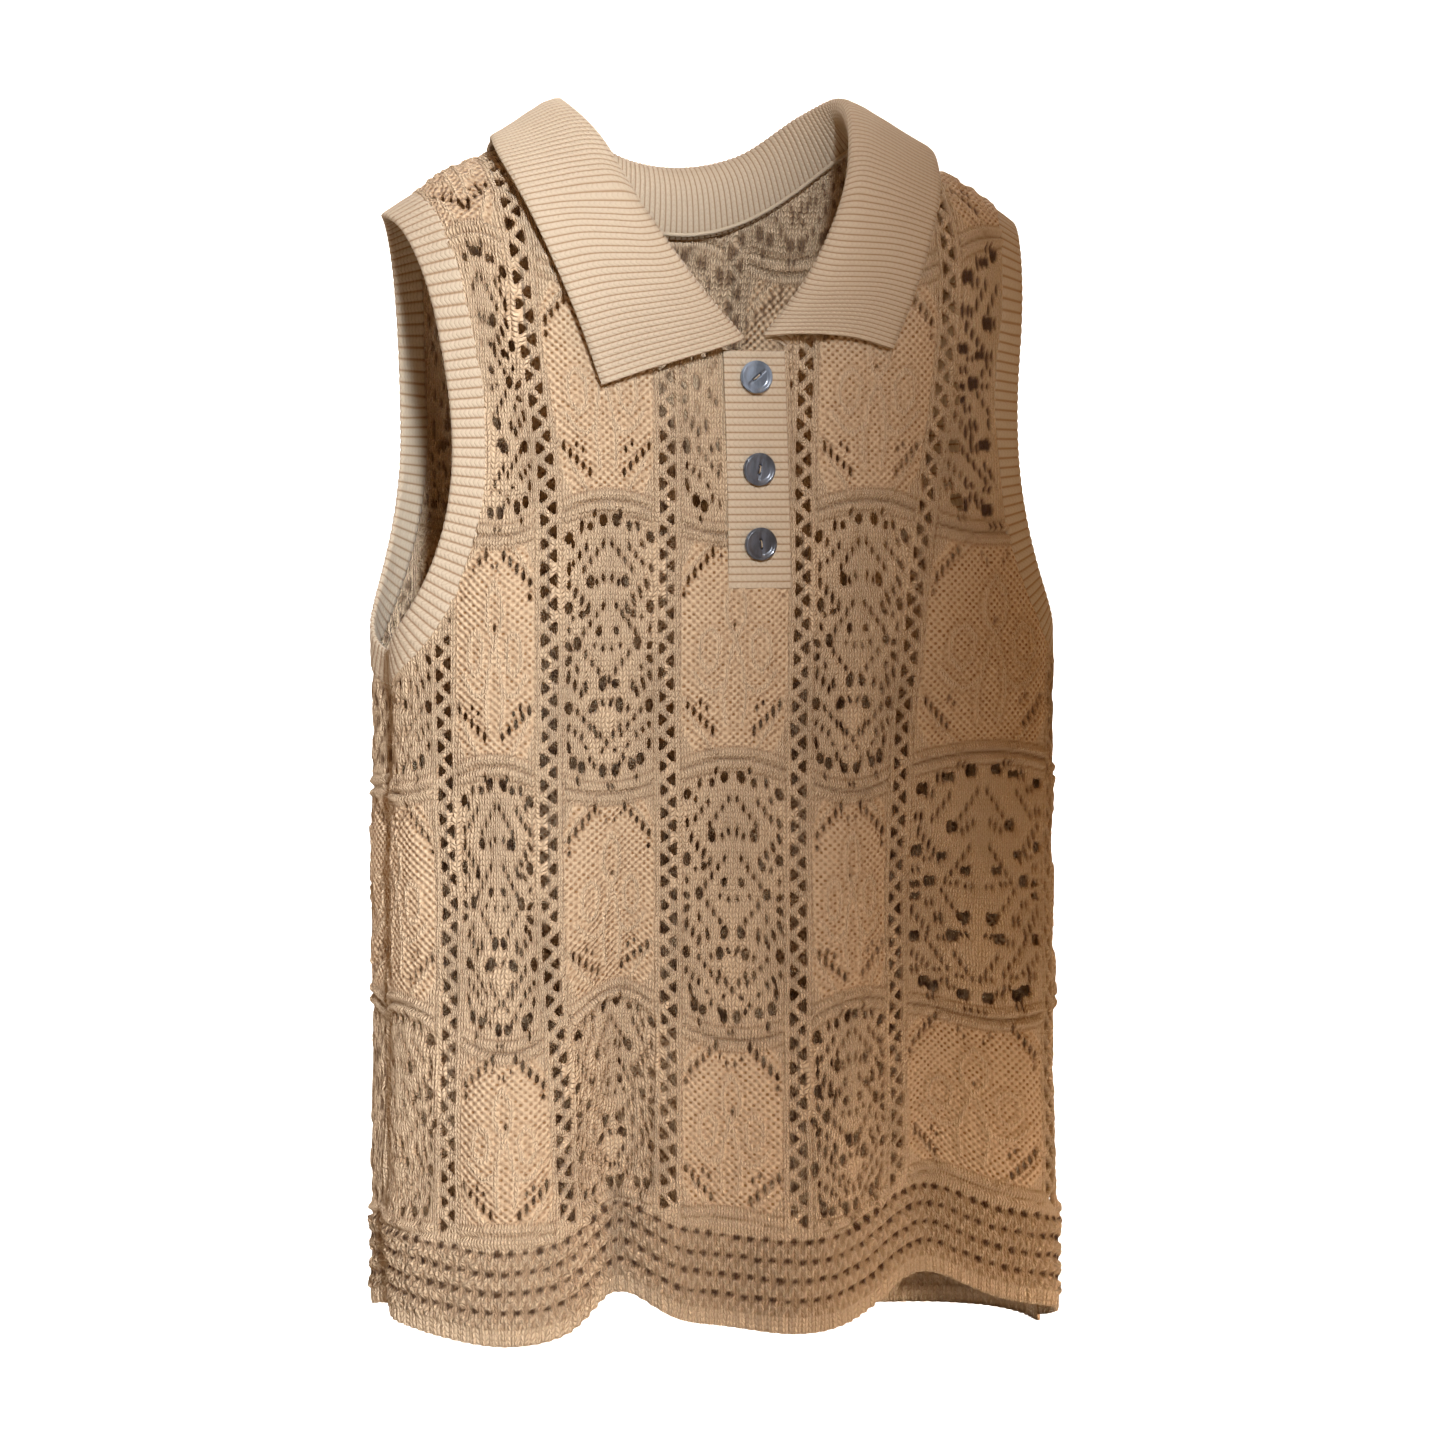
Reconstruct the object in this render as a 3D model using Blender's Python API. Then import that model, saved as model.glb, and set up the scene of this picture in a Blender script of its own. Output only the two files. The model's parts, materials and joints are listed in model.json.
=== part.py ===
"""Sleeveless lace-knit polo vest, hollow as worn: two lace panels, ribbed armhole bands, a two-leaf
ribbed collar, a button placket and three buttons.

Metres, +Z up, the front faces -Y and +X is the right-hand side as seen from the front. The origin
lies midway between the two shoulders, level with the middle of the shoulder seams, where the
wearer's shoulders carry the vest.

The cloth is described flat, as it is knitted: u runs across a panel from its middle and h runs up it,
with h = 0 level with the origin. body_point() wraps that flat cloth round the hollow body.
"""

import math

import bmesh
import bpy
import numpy as np
from mathutils import Vector
from mathutils.geometry import delaunay_2d_cdt

# Driving sizes
BODY_LENGTH = 0.535  # the origin to the hem, as it hangs
NECK_HALF = 0.080
SHOULDER_TIP = 0.1385  # where the panel ends and the armhole band starts
SHOULDER_RISE = 0.025  # of the shoulder line's crown, and how fast it falls away
SHOULDER_FALL = 2.2
CHEST_HALF_WIDTH = 0.162
CHEST_FRONT_DEPTH = 0.066
CHEST_BACK_DEPTH = 0.074
SECTION_POWER = 2.5  # how square the body's sections are; 2 is an ellipse
SHOULDER_SEAM_Y = 0.008
BODY_SWAY = 0.005  # how far the body hangs to the right of the shoulders
SWAY_CLOTH = 0.250  # the length of cloth below the shoulder that takes it

PANEL_THICK = 0.0020
BAND_THICK = 0.0024
COLLAR_THICK = 0.0024
BAND_WIDTH = 0.015
SEAM_GAP = 0.0003
SEAM_FADE = 0.030  # how far from the shoulder seam the bands' ends keep in line with it
EDGE_CLEAR = 0.0006  # of a band or the collar from a panel's edge, whose corners are further apart
RIB_PITCH = 0.0035
COLLAR_RIB_PITCH = 0.0038  # at its seam; the ribs spread a little towards the outer edge
BAND_RIB_PITCH = 0.0048
RIB_HEIGHT = 0.0006
PLAIN_COLUMNS = 6  # of a ribbed face to each column of its plain back

FRONT, BACK = -1, 1
RIGHT, LEFT = 1, -1
SLOPE_STEP = 0.0004  # for reading which way the cloth faces

# The body's level sections, from hem to neck
SECTIONS = (
    # z, half_width, front_depth, back_depth
    (-0.545, 0.1670, 0.069, 0.077),
    (-0.460, 0.1660, 0.067, 0.076),
    (-0.340, 0.1640, 0.065, 0.074),
    (-0.235, 0.1650, 0.067, 0.074),
    (-0.120, 0.1620, 0.066, 0.071),
    (-0.035, 0.1640, 0.063, 0.052),
    (0.035, 0.1660, 0.060, 0.046),
)

# How the cloth rounds over the shoulder: its drop, and the length of cloth that takes it
SHOULDER_ROUND = {
    FRONT: {"drop": 0.065, "cloth": 0.085},
    BACK: {"drop": 0.100, "cloth": 0.125},
}

# Soft folds, deepest at the hem: out is positive, and each fades to nothing at its top
FOLDS = (
    # side, u, half_width, out, top_h, lean
    (FRONT, -0.112, 0.030, 0.013, -0.130, 0.02),
    (FRONT, -0.066, 0.017, -0.017, -0.230, 0.03),
    (FRONT, 0.026, 0.027, 0.012, -0.180, 0.02),
    (FRONT, -0.022, 0.022, -0.006, -0.300, 0.00),
    (FRONT, 0.088, 0.028, -0.013, -0.240, 0.00),
    (FRONT, 0.146, 0.016, 0.006, -0.280, 0.00),
    (FRONT, -0.198, 0.034, -0.004, -0.500, 0.00),
    (BACK, -0.198, 0.034, -0.004, -0.500, 0.00),
    (BACK, -0.108, 0.026, 0.009, -0.200, -0.02),
    (BACK, -0.048, 0.024, -0.011, -0.260, 0.02),
    (BACK, 0.012, 0.026, 0.010, -0.230, 0.00),
    (BACK, 0.068, 0.022, -0.012, -0.250, -0.02),
    (BACK, 0.118, 0.024, 0.008, -0.220, 0.02),
)

# The cloth falls in along each side seam, most under the arm
SIDE_VALLEY = {"half_width": 0.018, "at_underarm": 0.010, "at_hem": 0.005, "fade": 0.110}

# How the hem dips and rises with the folds
HEM_DIPS = (
    # side, u, half_width, up, top_h
    (FRONT, -0.198, 0.024, 0.005, -0.480),
    (FRONT, -0.116, 0.034, -0.006, -0.100),
    (FRONT, -0.062, 0.019, 0.015, -0.260),
    (FRONT, 0.014, 0.030, -0.005, -0.220),
    (FRONT, 0.084, 0.030, 0.017, -0.300),
    (FRONT, 0.198, 0.042, -0.015, -0.300),
    (BACK, -0.198, 0.024, 0.005, -0.480),
    (BACK, 0.020, 0.070, -0.010, -0.250),
    (BACK, 0.120, 0.060, -0.016, -0.300),
    (BACK, 0.198, 0.042, -0.015, -0.300),
)

# Lace layout: blocks in columns, parted by zigzag ladders, and rows counted up from the hem
LADDERS = {
    FRONT: (-0.142, -0.096, -0.042, 0.019, 0.071, 0.148),
    BACK: (-0.140, -0.084, -0.028, 0.028, 0.084, 0.140),
}
HEM_BAND = 0.047
BLOCK_ROWS = (
    # height of the block
    0.093,
    0.112,
    0.118,
    0.118,
)
LADDER_OFFSET = 0.0034  # of each of the ladder's two columns of holes from its middle
LADDER_CUT_PITCH = 0.0315
LADDER_HOLE = (0.0048, 0.0056)
FAN_HOLE = (0.0040, 0.0076)
FAN_HOLES = (
    # share of the column's half width, share of the block's half height
    (-0.62, -0.72),
    (-0.44, -0.79),
    (-0.11, -0.83),
    (0.11, -0.83),
    (0.44, -0.79),
    (0.62, -0.72),
)
GRID_PITCH = 0.034  # of the panel's own points up its height
GRID_COLUMNS = 11  # of those points across it, out to GRID_EDGE of its half width
GRID_EDGE = 0.9
SIDE_COLUMN = 0.962  # and one more column near each side seam
YOKE_DEPTH, YOKE_HALF, YOKE_PITCH = 0.102, 0.120, 0.017  # closer points where the collar lies
GRID_CLEAR = 0.0065  # of those points from the outline and the holes
SHARP_FOLD = 0.0235  # folds narrower than this get points of their own
HOLE_MARGIN = 0.009  # of uncut cloth inside a panel's outline

# Necklines and armholes, flat
FRONT_NECK_DROP = 0.108
BACK_NECK_DROP = 0.066
PLACKET_HALF = 0.0142
PLACKET_LENGTH = 0.109
UNDERARM_Z = -0.242
ARMHOLE_NARROWEST = {FRONT: 0.124, BACK: 0.128}

ARMHOLE_WAIST_H = -0.150  # where the armhole is narrowest, and how far its curves reach towards it
ARMHOLE_UNDER_REACH = 0.034
ARMHOLE_LOW_REACH, ARMHOLE_HIGH_REACH, ARMHOLE_TIP_REACH = 0.068, 0.050, 0.040
FRONT_NECK_REACH = ((0.077, -0.030), (0.031, -0.085))  # its curve's two handles

PLACKET_THICK = 0.0018
PLACKET_LIFT = 0.0011  # of each of its two strips from the panel's middle

# The collar from its middle back to each front end: how far along its seam, where its fold stands,
# and where its outer edge lies over the panels
COLLAR_STATIONS = (
    # share, fold_x, fold_y, fold_z, edge_side, edge_u, edge_h, edge_lift
    (-1.00, -0.0040, -0.0715, -0.0840, FRONT, -0.072, -0.1250, 0.0070),
    (-0.86, -0.0260, -0.0695, -0.0590, FRONT, -0.083, -0.0900, 0.0090),
    (-0.72, -0.0470, -0.0600, -0.0260, FRONT, -0.096, -0.0570, 0.0110),
    (-0.58, -0.0610, -0.0330, 0.0090, FRONT, -0.103, -0.0280, 0.0095),
    (-0.44, -0.0680, 0.0080, 0.0275, FRONT, -0.101, -0.0030, 0.0060),
    (-0.30, -0.0570, 0.0340, 0.0235, BACK, -0.082, -0.0640, 0.0065),
    (-0.15, -0.0310, 0.0490, 0.0050, BACK, -0.038, -0.0820, 0.0050),
    (0.00, 0.0000, 0.0530, -0.0010, BACK, 0.000, -0.0830, 0.0050),
    (0.15, 0.0310, 0.0490, 0.0050, BACK, 0.038, -0.0820, 0.0050),
    (0.30, 0.0570, 0.0340, 0.0235, BACK, 0.082, -0.0640, 0.0065),
    (0.44, 0.0690, 0.0080, 0.0300, FRONT, 0.105, 0.0000, 0.0070),
    (0.58, 0.0610, -0.0320, 0.0100, FRONT, 0.100, -0.0340, 0.0060),
    (0.72, 0.0465, -0.0600, -0.0230, FRONT, 0.090, -0.0560, 0.0055),
    (0.86, 0.0280, -0.0695, -0.0570, FRONT, 0.078, -0.0820, 0.0055),
    (1.00, 0.0070, -0.0715, -0.0825, FRONT, 0.066, -0.1080, 0.0055),
)
COLLAR_END_GAP = 0.0015  # between each end of the collar's seam and the placket
COLLAR_LEAST_LIFT = 0.0045  # of the fall from the middle of the panels it lies on
FOLD_ROUND = 0.008  # how tightly the collar turns over
STAND_FOOT = 0.0035  # of the stand that still runs along the neck edge's cloth
STAND_RISE, FALL_REACH = 0.30, 0.35  # shares of the stand's height and the fall's width that shape them
COLLAR_ROWS = {"stand": (0.6,), "fall": (0.0, 0.2, 0.45, 0.72, 1.0)}
COLLAR_FREE = 0.3  # the share of the fall that turns over clear of the panels

BUTTON_RADIUS = 0.0075
BUTTON_THICK = 0.0026
BUTTON_DISH = 0.0006
BUTTON_HOLE_RADIUS = 0.0009
BUTTON_HOLE_OFFSET = 0.0017
BUTTON_RIM, BUTTON_DISH_EDGE = 0.93, 0.72  # shares of its radius
BUTTON_EDGE_ROUND = 0.0007
BUTTONS = (
    # h, turn of its two holes in degrees
    (-0.121, 40),
    (-0.163, 80),
    (-0.197, 95),
)

SHARP_ANGLE = math.radians(50)

FINISHES = {
    "lace_knit": {"colour": (0.62, 0.47, 0.30, 1.0), "roughness": 0.9},
    "rib_knit": {"colour": (0.66, 0.52, 0.35, 1.0), "roughness": 0.9},
    "horn_button": {"colour": (0.10, 0.11, 0.13, 1.0), "roughness": 0.3},
}


def unit(vectors):
    """Vectors of length one."""
    length = np.linalg.norm(vectors, axis=-1, keepdims=True)
    return vectors / np.maximum(length, 1e-12)


def smooth_column(at, knots, values):
    """A smooth curve through a table's column, read at the given places."""
    knots, values = np.asarray(knots, float), np.asarray(values, float)
    slopes = np.gradient(values, knots)
    i = np.clip(np.searchsorted(knots, at) - 1, 0, len(knots) - 2)
    span = knots[i + 1] - knots[i]
    t = np.clip((at - knots[i]) / span, 0.0, 1.0)
    start = (2 * t**3 - 3 * t**2 + 1) * values[i] + (t**3 - 2 * t**2 + t) * span * slopes[i]
    end = (3 * t**2 - 2 * t**3) * values[i + 1] + (t**3 - t**2) * span * slopes[i + 1]
    return start + end


def smooth_step(t):
    t = np.clip(t, 0.0, 1.0)
    return t * t * (3 - 2 * t)


def quarter_section(depth):
    """A quarter of the chest's section: share of its length, x and y as shares of width and depth."""
    angle = np.linspace(0, math.pi / 2, 400)
    x = np.sin(angle) ** (2 / SECTION_POWER)
    y = np.cos(angle) ** (2 / SECTION_POWER)
    step = np.hypot(np.diff(x * CHEST_HALF_WIDTH), np.diff(y * depth))
    along = np.concatenate([[0], np.cumsum(step)])
    return along / along[-1], x, y, float(along[-1])


QUARTER = {FRONT: quarter_section(CHEST_FRONT_DEPTH), BACK: quarter_section(CHEST_BACK_DEPTH)}
PANEL_HALF = {side: QUARTER[side][3] for side in (FRONT, BACK)}
CLOTH_TAKEN = {side: SHOULDER_ROUND[side]["cloth"] - SHOULDER_ROUND[side]["drop"] for side in (FRONT, BACK)}
HEM_H = {side: -BODY_LENGTH - CLOTH_TAKEN[side] for side in (FRONT, BACK)}


def shoulder_height(u):
    """Height of the shoulder seam, also used flat."""
    return SHOULDER_RISE - SHOULDER_FALL * np.asarray(u) ** 2


def body_point(side, u, h):
    """The middle of the cloth at a flat point of the front or back."""
    u, h = np.broadcast_arrays(np.asarray(u, float), np.asarray(h, float))
    round_over = SHOULDER_ROUND[side]
    seam = shoulder_height(u)
    below = seam - h
    turn = math.pi / 2 * np.minimum(below / round_over["cloth"], 1.0)
    past = np.maximum(below - round_over["cloth"], 0.0)
    z = seam - round_over["drop"] * (1 - np.cos(turn)) - past
    knots = [row[0] for row in SECTIONS]
    width, front, back = (smooth_column(z, knots, [row[i] for row in SECTIONS]) for i in (1, 2, 3))
    share = np.abs(u) / PANEL_HALF[side]
    round_side = share > 1
    share = np.where(round_side, 2 - share, share)
    table, across, deep, _ = QUARTER[side]
    x_share, y_share = np.interp(share, table, across), np.interp(share, table, deep)
    facing = np.where(round_side, -side, side)
    depth = np.where(facing == FRONT, front, back)
    out = unit(
        np.stack([x_share ** (SECTION_POWER - 1) / width, y_share ** (SECTION_POWER - 1) / depth], -1)
    )
    rise = np.zeros_like(z)
    beside = np.exp(-(((np.abs(u) - PANEL_HALF[side]) / SIDE_VALLEY["half_width"]) ** 2))
    valley_z = (-BODY_LENGTH, UNDERARM_Z, UNDERARM_Z + SIDE_VALLEY["fade"])
    bulge = -beside * np.interp(z, valley_z, (SIDE_VALLEY["at_hem"], SIDE_VALLEY["at_underarm"], 0.0))
    for fold_side, centre, half_width, amount, top, lean in FOLDS:
        if fold_side == side:
            off = (u - centre - lean * (h - HEM_H[side])) / half_width
            bulge += amount * np.exp(-(off**2)) * smooth_step((top - h) / (top - HEM_H[side]))
    for dip_side, centre, half_width, amount, top in HEM_DIPS:
        if dip_side == side:
            off = (u - centre) / half_width
            rise += amount * np.exp(-(off**2)) * smooth_step((top - h) / (top - HEM_H[side]))
    hang = np.sin(turn)
    x = np.sign(u) * (np.abs(u) * (1 - hang) + (width * x_share + bulge * out[..., 0]) * hang)
    x += BODY_SWAY * smooth_step(below / SWAY_CLOTH)
    y_body = facing * (depth * y_share + bulge * out[..., 1])
    y = SHOULDER_SEAM_Y * (1 - hang) + y_body * hang
    return np.stack([x, y, z + rise], -1)


def cloth_point(side, u, h, lift):
    """A point lifted off the cloth's middle, outwards."""
    u, h = np.asarray(u, float), np.asarray(h, float)
    across = body_point(side, u + SLOPE_STEP, h) - body_point(side, u - SLOPE_STEP, h)
    up = body_point(side, u, h + SLOPE_STEP) - body_point(side, u, h - SLOPE_STEP)
    outward = unit(np.cross(across, up)) * -side
    return body_point(side, u, h) + outward * np.asarray(lift)[..., None]


def bezier(a, b, c, d, t):
    """Cubic curves' points: whole rows of curves at one t, or one curve at a column of them."""
    a, b, c, d = (np.asarray(p, float) for p in (a, b, c, d))
    return (1 - t) ** 3 * a + 3 * (1 - t) ** 2 * t * b + 3 * (1 - t) * t**2 * c + t**3 * d


def armhole_curve(side, count=60):
    """The right-hand armhole edge of a panel, flat, from the side seam up to the shoulder tip."""
    t = np.linspace(0, 1, count)[:, None]
    narrow = ARMHOLE_NARROWEST[side]
    underarm = (PANEL_HALF[side], UNDERARM_Z - CLOTH_TAKEN[side])
    waist = (narrow, ARMHOLE_WAIST_H)
    tip = (SHOULDER_TIP, float(shoulder_height(SHOULDER_TIP)))
    inward = (underarm[0] - ARMHOLE_UNDER_REACH, underarm[1])
    low = bezier(underarm, inward, (narrow, waist[1] - ARMHOLE_LOW_REACH), waist, t)
    below_tip = (tip[0], tip[1] - ARMHOLE_TIP_REACH)
    high = bezier(waist, (narrow, waist[1] + ARMHOLE_HIGH_REACH), below_tip, tip, t)
    return np.concatenate([low, high[1:]])


def neck_curve(side, count=60):
    """The right-hand half of a neckline, flat, from the shoulder to the middle."""
    if side == BACK:
        t = np.linspace(0, math.pi / 2, count)
        top = float(shoulder_height(NECK_HALF))
        return np.stack([NECK_HALF * np.cos(t), top - (BACK_NECK_DROP + top) * np.sin(t)], 1)
    t = np.linspace(0, 1, count)[:, None]
    shoulder = (NECK_HALF, float(shoulder_height(NECK_HALF)))
    return bezier(shoulder, *FRONT_NECK_REACH, (PLACKET_HALF, -FRONT_NECK_DROP), t)


def spaced(path, step):
    """The path again, with points about step apart."""
    path = np.asarray(path, float)
    along = np.concatenate([[0], np.cumsum(np.linalg.norm(np.diff(path, axis=0), axis=1))])
    at = np.linspace(0, along[-1], max(2, round(along[-1] / step) + 1))
    return np.stack([np.interp(at, along, path[:, k]) for k in range(path.shape[1])], 1)


def drop_repeats(path):
    keep = [path[0]]
    for p in path[1:]:
        if np.linalg.norm(p - keep[-1]) > 1e-5:
            keep.append(p)
    return np.array(keep)


def panel_outline(side):
    """The whole outline of a panel, flat, inside its seams by half the seam gap."""
    half = PANEL_HALF[side] - SEAM_GAP / 2
    hem_h = HEM_H[side]
    hem = spaced([(0, hem_h), (half, hem_h)], 0.011)
    armhole = armhole_curve(side)
    side_seam = spaced([(half, hem_h), (half, armhole[0, 1])], 0.026)[1:]
    armhole[:, 0] = np.minimum(armhole[:, 0], half)
    tip, neck = armhole[-1], neck_curve(side)
    shoulder = spaced([tip, neck[0]], 0.016)[1:-1]
    shoulder[:, 1] -= SEAM_GAP / 2
    armhole[-1, 1] -= SEAM_GAP / 2
    neck[0, 1] -= SEAM_GAP / 2
    right = [hem, side_seam, spaced(armhole, 0.006)[1:], shoulder, spaced(neck, 0.007)]
    if side == FRONT:
        foot = -FRONT_NECK_DROP - PLACKET_LENGTH
        right += [spaced([(PLACKET_HALF, -FRONT_NECK_DROP), (PLACKET_HALF, foot)], 0.018)[1:], [(0, foot)]]
    right = drop_repeats(np.concatenate([np.asarray(part, float) for part in right]))
    left = (right * (-1, 1))[::-1]
    return drop_repeats(np.concatenate([right, left[1:-1]]))


def inside(points, polygon):
    """Which points lie inside a polygon."""
    x, y = points[:, 0, None], points[:, 1, None]
    a, b = polygon, np.roll(polygon, -1, axis=0)
    crosses = (a[:, 1] > y) != (b[:, 1] > y)
    with np.errstate(divide="ignore", invalid="ignore"):
        at = a[:, 0] + (y - a[:, 1]) * (b[:, 0] - a[:, 0]) / (b[:, 1] - a[:, 1])
    return (crosses & (x < at)).sum(1) % 2 == 1


def outline_distance(points, polygon):
    """How far points are from a polygon's edge."""
    a, b = polygon, np.roll(polygon, -1, axis=0)
    d = b - a
    to = points[:, None] - a
    t = np.clip((to * d).sum(2) / (d * d).sum(1), 0, 1)
    return np.linalg.norm(to - t[..., None] * d, axis=2).min(1)


def triangle(centre, size, point_to):
    """A ladder hole's outline: three-cornered, its point to the side given."""
    half_width, half_height = size[0] / 2, size[1] / 2
    corners = [(half_width, 0), (-half_width, half_height), (-half_width, -half_height)]
    return np.array([(centre[0] + x * point_to, centre[1] + y) for x, y in corners])


def kite(centre, size, point_to):
    """A hole's outline: tall with a point above and below, fuller on the side given."""
    half_width, half_height = size[0] / 2, size[1] / 2
    full, thin = half_width * 1.15, half_width * 0.75
    corners = [(0, -half_height), (full, 0), (0, half_height), (-thin, 0)]
    return np.array([(centre[0] + x * point_to, centre[1] + y) for x, y in corners])


def ladder_holes(side):
    """Every few holes of the zigzag ladders between the blocks, left and right in turn."""
    holes = []
    for number, middle in enumerate(LADDERS[side]):
        for i in range(int((-HEM_H[side] - HEM_BAND) / LADDER_CUT_PITCH)):
            turn = RIGHT if (i + number) % 2 else LEFT
            h = HEM_H[side] + HEM_BAND + LADDER_CUT_PITCH * (i + 0.45)
            holes.append(triangle((middle + turn * LADDER_OFFSET, h), LADDER_HOLE, -turn))
    return holes


def fan_holes(side):
    """The tall holes at the foot of each open block; open and closed blocks alternate."""
    holes = []
    borders = [-PANEL_HALF[side], *LADDERS[side], PANEL_HALF[side]]
    foot = HEM_H[side] + HEM_BAND
    for row, height in enumerate(BLOCK_ROWS):
        for column, (left, right) in enumerate(zip(borders, borders[1:])):
            if (row + column) % 2 == 0:
                for across, up in FAN_HOLES:
                    u = (left + right) / 2 + across * (right - left) / 2
                    centre = (u, foot + height / 2 * (1 + up))
                    holes.append(kite(centre, FAN_HOLE, math.copysign(1, across)))
        foot += height
    return holes


def cut_triangles(loops, extra):
    """Flat triangles inside the first loop and outside the others."""
    points, edges = [], []
    for loop in loops:
        first = len(points)
        points += [Vector(p) for p in loop]
        edges += [(first + i, first + (i + 1) % len(loop)) for i in range(len(loop))]
    points += [Vector(p) for p in extra]
    flat, _, faces, *_ = delaunay_2d_cdt(points, edges, [], 0, 1e-7)
    flat = np.array([tuple(p) for p in flat])
    faces = np.array([tuple(f) for f in faces])
    middles = flat[faces].mean(1)
    keep = inside(middles, loops[0])
    for hole in loops[1:]:
        keep &= ~inside(middles, hole)
    return flat, faces[keep]


def panel_mesh(side):
    """A lace panel's flat cut, with its holes."""
    outline = panel_outline(side)
    holes = [
        hole
        for hole in ladder_holes(side) + fan_holes(side)
        if inside(hole, outline).all() and outline_distance(hole, outline).min() > HOLE_MARGIN
    ]
    across = np.append(np.linspace(-GRID_EDGE, GRID_EDGE, GRID_COLUMNS), (-SIDE_COLUMN, SIDE_COLUMN))
    columns = across * PANEL_HALF[side]
    rows = np.arange(HEM_H[side] + 0.012, -YOKE_DEPTH, GRID_PITCH)
    grid = [(u, h) for u in columns for h in rows]
    yoke = np.arange(-YOKE_DEPTH, 0, YOKE_PITCH)
    for u in np.linspace(-YOKE_HALF, YOKE_HALF, GRID_COLUMNS):
        grid += [(u, float(shoulder_height(u)) + down) for down in yoke]
    for fold_side, centre, half_width, amount, fold_top, lean in FOLDS:
        if fold_side == side and half_width < SHARP_FOLD:
            for h in rows[rows < fold_top - GRID_PITCH]:
                middle = centre + lean * (h - HEM_H[side])
                grid += [(middle + k * half_width, h) for k in (-1, 0, 1)]
    grid = np.array(grid)
    grid = grid[inside(grid, outline)]
    clear = outline_distance(grid, outline) > GRID_CLEAR
    hole_points = np.concatenate(holes)
    clear &= np.array([np.linalg.norm(hole_points - p, axis=1).min() > GRID_CLEAR for p in grid])
    print(("back" if side == BACK else "front"), "panel:", len(holes), "holes cut")
    return cut_triangles([outline, *holes], grid[clear])


def two_layers(name, outer, inner, faces, finish):
    """A solid from an outer and an inner layer of the same triangles, walled round every free edge."""
    count = len(outer)
    ends = np.concatenate([faces[:, [0, 1]], faces[:, [1, 2]], faces[:, [2, 0]]])
    directed = {(int(i), int(j)) for i, j in ends}
    walls = [(j, i, i + count, j + count) for i, j in directed if (j, i) not in directed]
    layers = [tuple(map(int, f)) for f in faces]
    layers += [tuple(int(i) + count for i in f[::-1]) for f in faces]
    return make_object(name, np.concatenate([outer, inner]), layers + sorted(walls), finish)


def turned(flat, faces, way):
    """The same flat triangles, all wound the way given."""
    corners = flat[faces]
    a, b = corners[:, 1] - corners[:, 0], corners[:, 2] - corners[:, 0]
    wrong = (a[:, 0] * b[:, 1] - a[:, 1] * b[:, 0]) * way < 0
    return np.where(wrong[:, None], faces[:, ::-1], faces)


def lace_panel(name, side):
    flat, faces = panel_mesh(side)
    faces = turned(flat, faces, -side)
    u, h = flat.T
    outer, inner = (cloth_point(side, u, h, np.full(len(flat), k * PANEL_THICK / 2)) for k in (1, -1))
    return two_layers(name, outer, inner, faces, "lace_knit")


def material(finish):
    """One Principled material for each finish."""
    found = bpy.data.materials.get(finish)
    if found:
        return found
    made = bpy.data.materials.new(finish)
    made.use_nodes = True
    shader = made.node_tree.nodes["Principled BSDF"]
    shader.inputs["Base Color"].default_value = FINISHES[finish]["colour"]
    shader.inputs["Roughness"].default_value = FINISHES[finish]["roughness"]
    shader.inputs["Metallic"].default_value = 0.0
    made.diffuse_color = FINISHES[finish]["colour"]
    return made


def make_object(name, points, faces, finish):
    mesh = bpy.data.meshes.new(name)
    mesh.from_pydata([tuple(map(float, p)) for p in points], [], faces)
    clean = bmesh.new()
    clean.from_mesh(mesh)
    unused = [v for v in clean.verts if not v.link_faces]
    bmesh.ops.delete(clean, geom=unused, context="VERTS")
    clean.to_mesh(mesh)
    clean.free()
    mesh.shade_smooth()
    mesh.set_sharp_from_angle(angle=SHARP_ANGLE)
    made = bpy.data.objects.new(name, mesh)
    mesh.materials.append(material(finish))
    bpy.context.scene.collection.objects.link(made)
    return made


def ribbed_sheet(name, middle, thick, closed=False):
    """A ribbed strip from a grid of points in rows and columns. Ribs stand on every second column of
    the face that the grid's normals point out of; the other face is plain and has fewer columns."""
    normal = sheet_normals(middle, closed)
    rows, columns = middle.shape[:2]
    raised = np.zeros((rows, columns))
    raised[:, 1::2] = RIB_HEIGHT
    ribbed = middle + normal * (thick / 2 + raised)[..., None]
    coarse = list(range(0, columns, PLAIN_COLUMNS))
    if not closed and coarse[-1] != columns - 1:
        coarse.append(columns - 1)
    plain = (middle - normal * thick / 2)[:, coarse]
    points = np.concatenate([ribbed.reshape(-1, 3), plain.reshape(-1, 3)])
    first = rows * columns
    faces = []

    def fine(r, c):
        return r * columns + c % columns

    def back(r, c):
        return first + r * len(coarse) + c % len(coarse)

    spans = columns if closed else columns - 1
    for r in range(rows - 1):
        for c in range(spans):
            faces.append((fine(r, c), fine(r, c + 1), fine(r + 1, c + 1), fine(r + 1, c)))
    groups = len(coarse) if closed else len(coarse) - 1
    for r in range(rows - 1):
        for g in range(groups):
            faces.append((back(r, g), back(r + 1, g), back(r + 1, g + 1), back(r, g + 1)))
    for r, reverse in ((0, False), (rows - 1, True)):
        for g in range(groups):
            start = coarse[g]
            stop = coarse[g + 1] if g + 1 < len(coarse) else columns
            half = (start + stop) // 2
            rim = [(fine(r, c + 1), fine(r, c), back(r, g)) for c in range(start, half)]
            rim += [(fine(r, c + 1), fine(r, c), back(r, g + 1)) for c in range(half, stop)]
            rim.append((fine(r, half), back(r, g), back(r, g + 1)))
            faces += [f[::-1] if reverse else f for f in rim]
    if not closed:
        last = len(coarse) - 1
        for r in range(rows - 1):
            faces.append((fine(r, 0), fine(r + 1, 0), back(r + 1, 0), back(r, 0)))
            faces.append((fine(r + 1, columns - 1), fine(r, columns - 1), back(r, last), back(r + 1, last)))
    return make_object(name, points, faces, "rib_knit")


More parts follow.
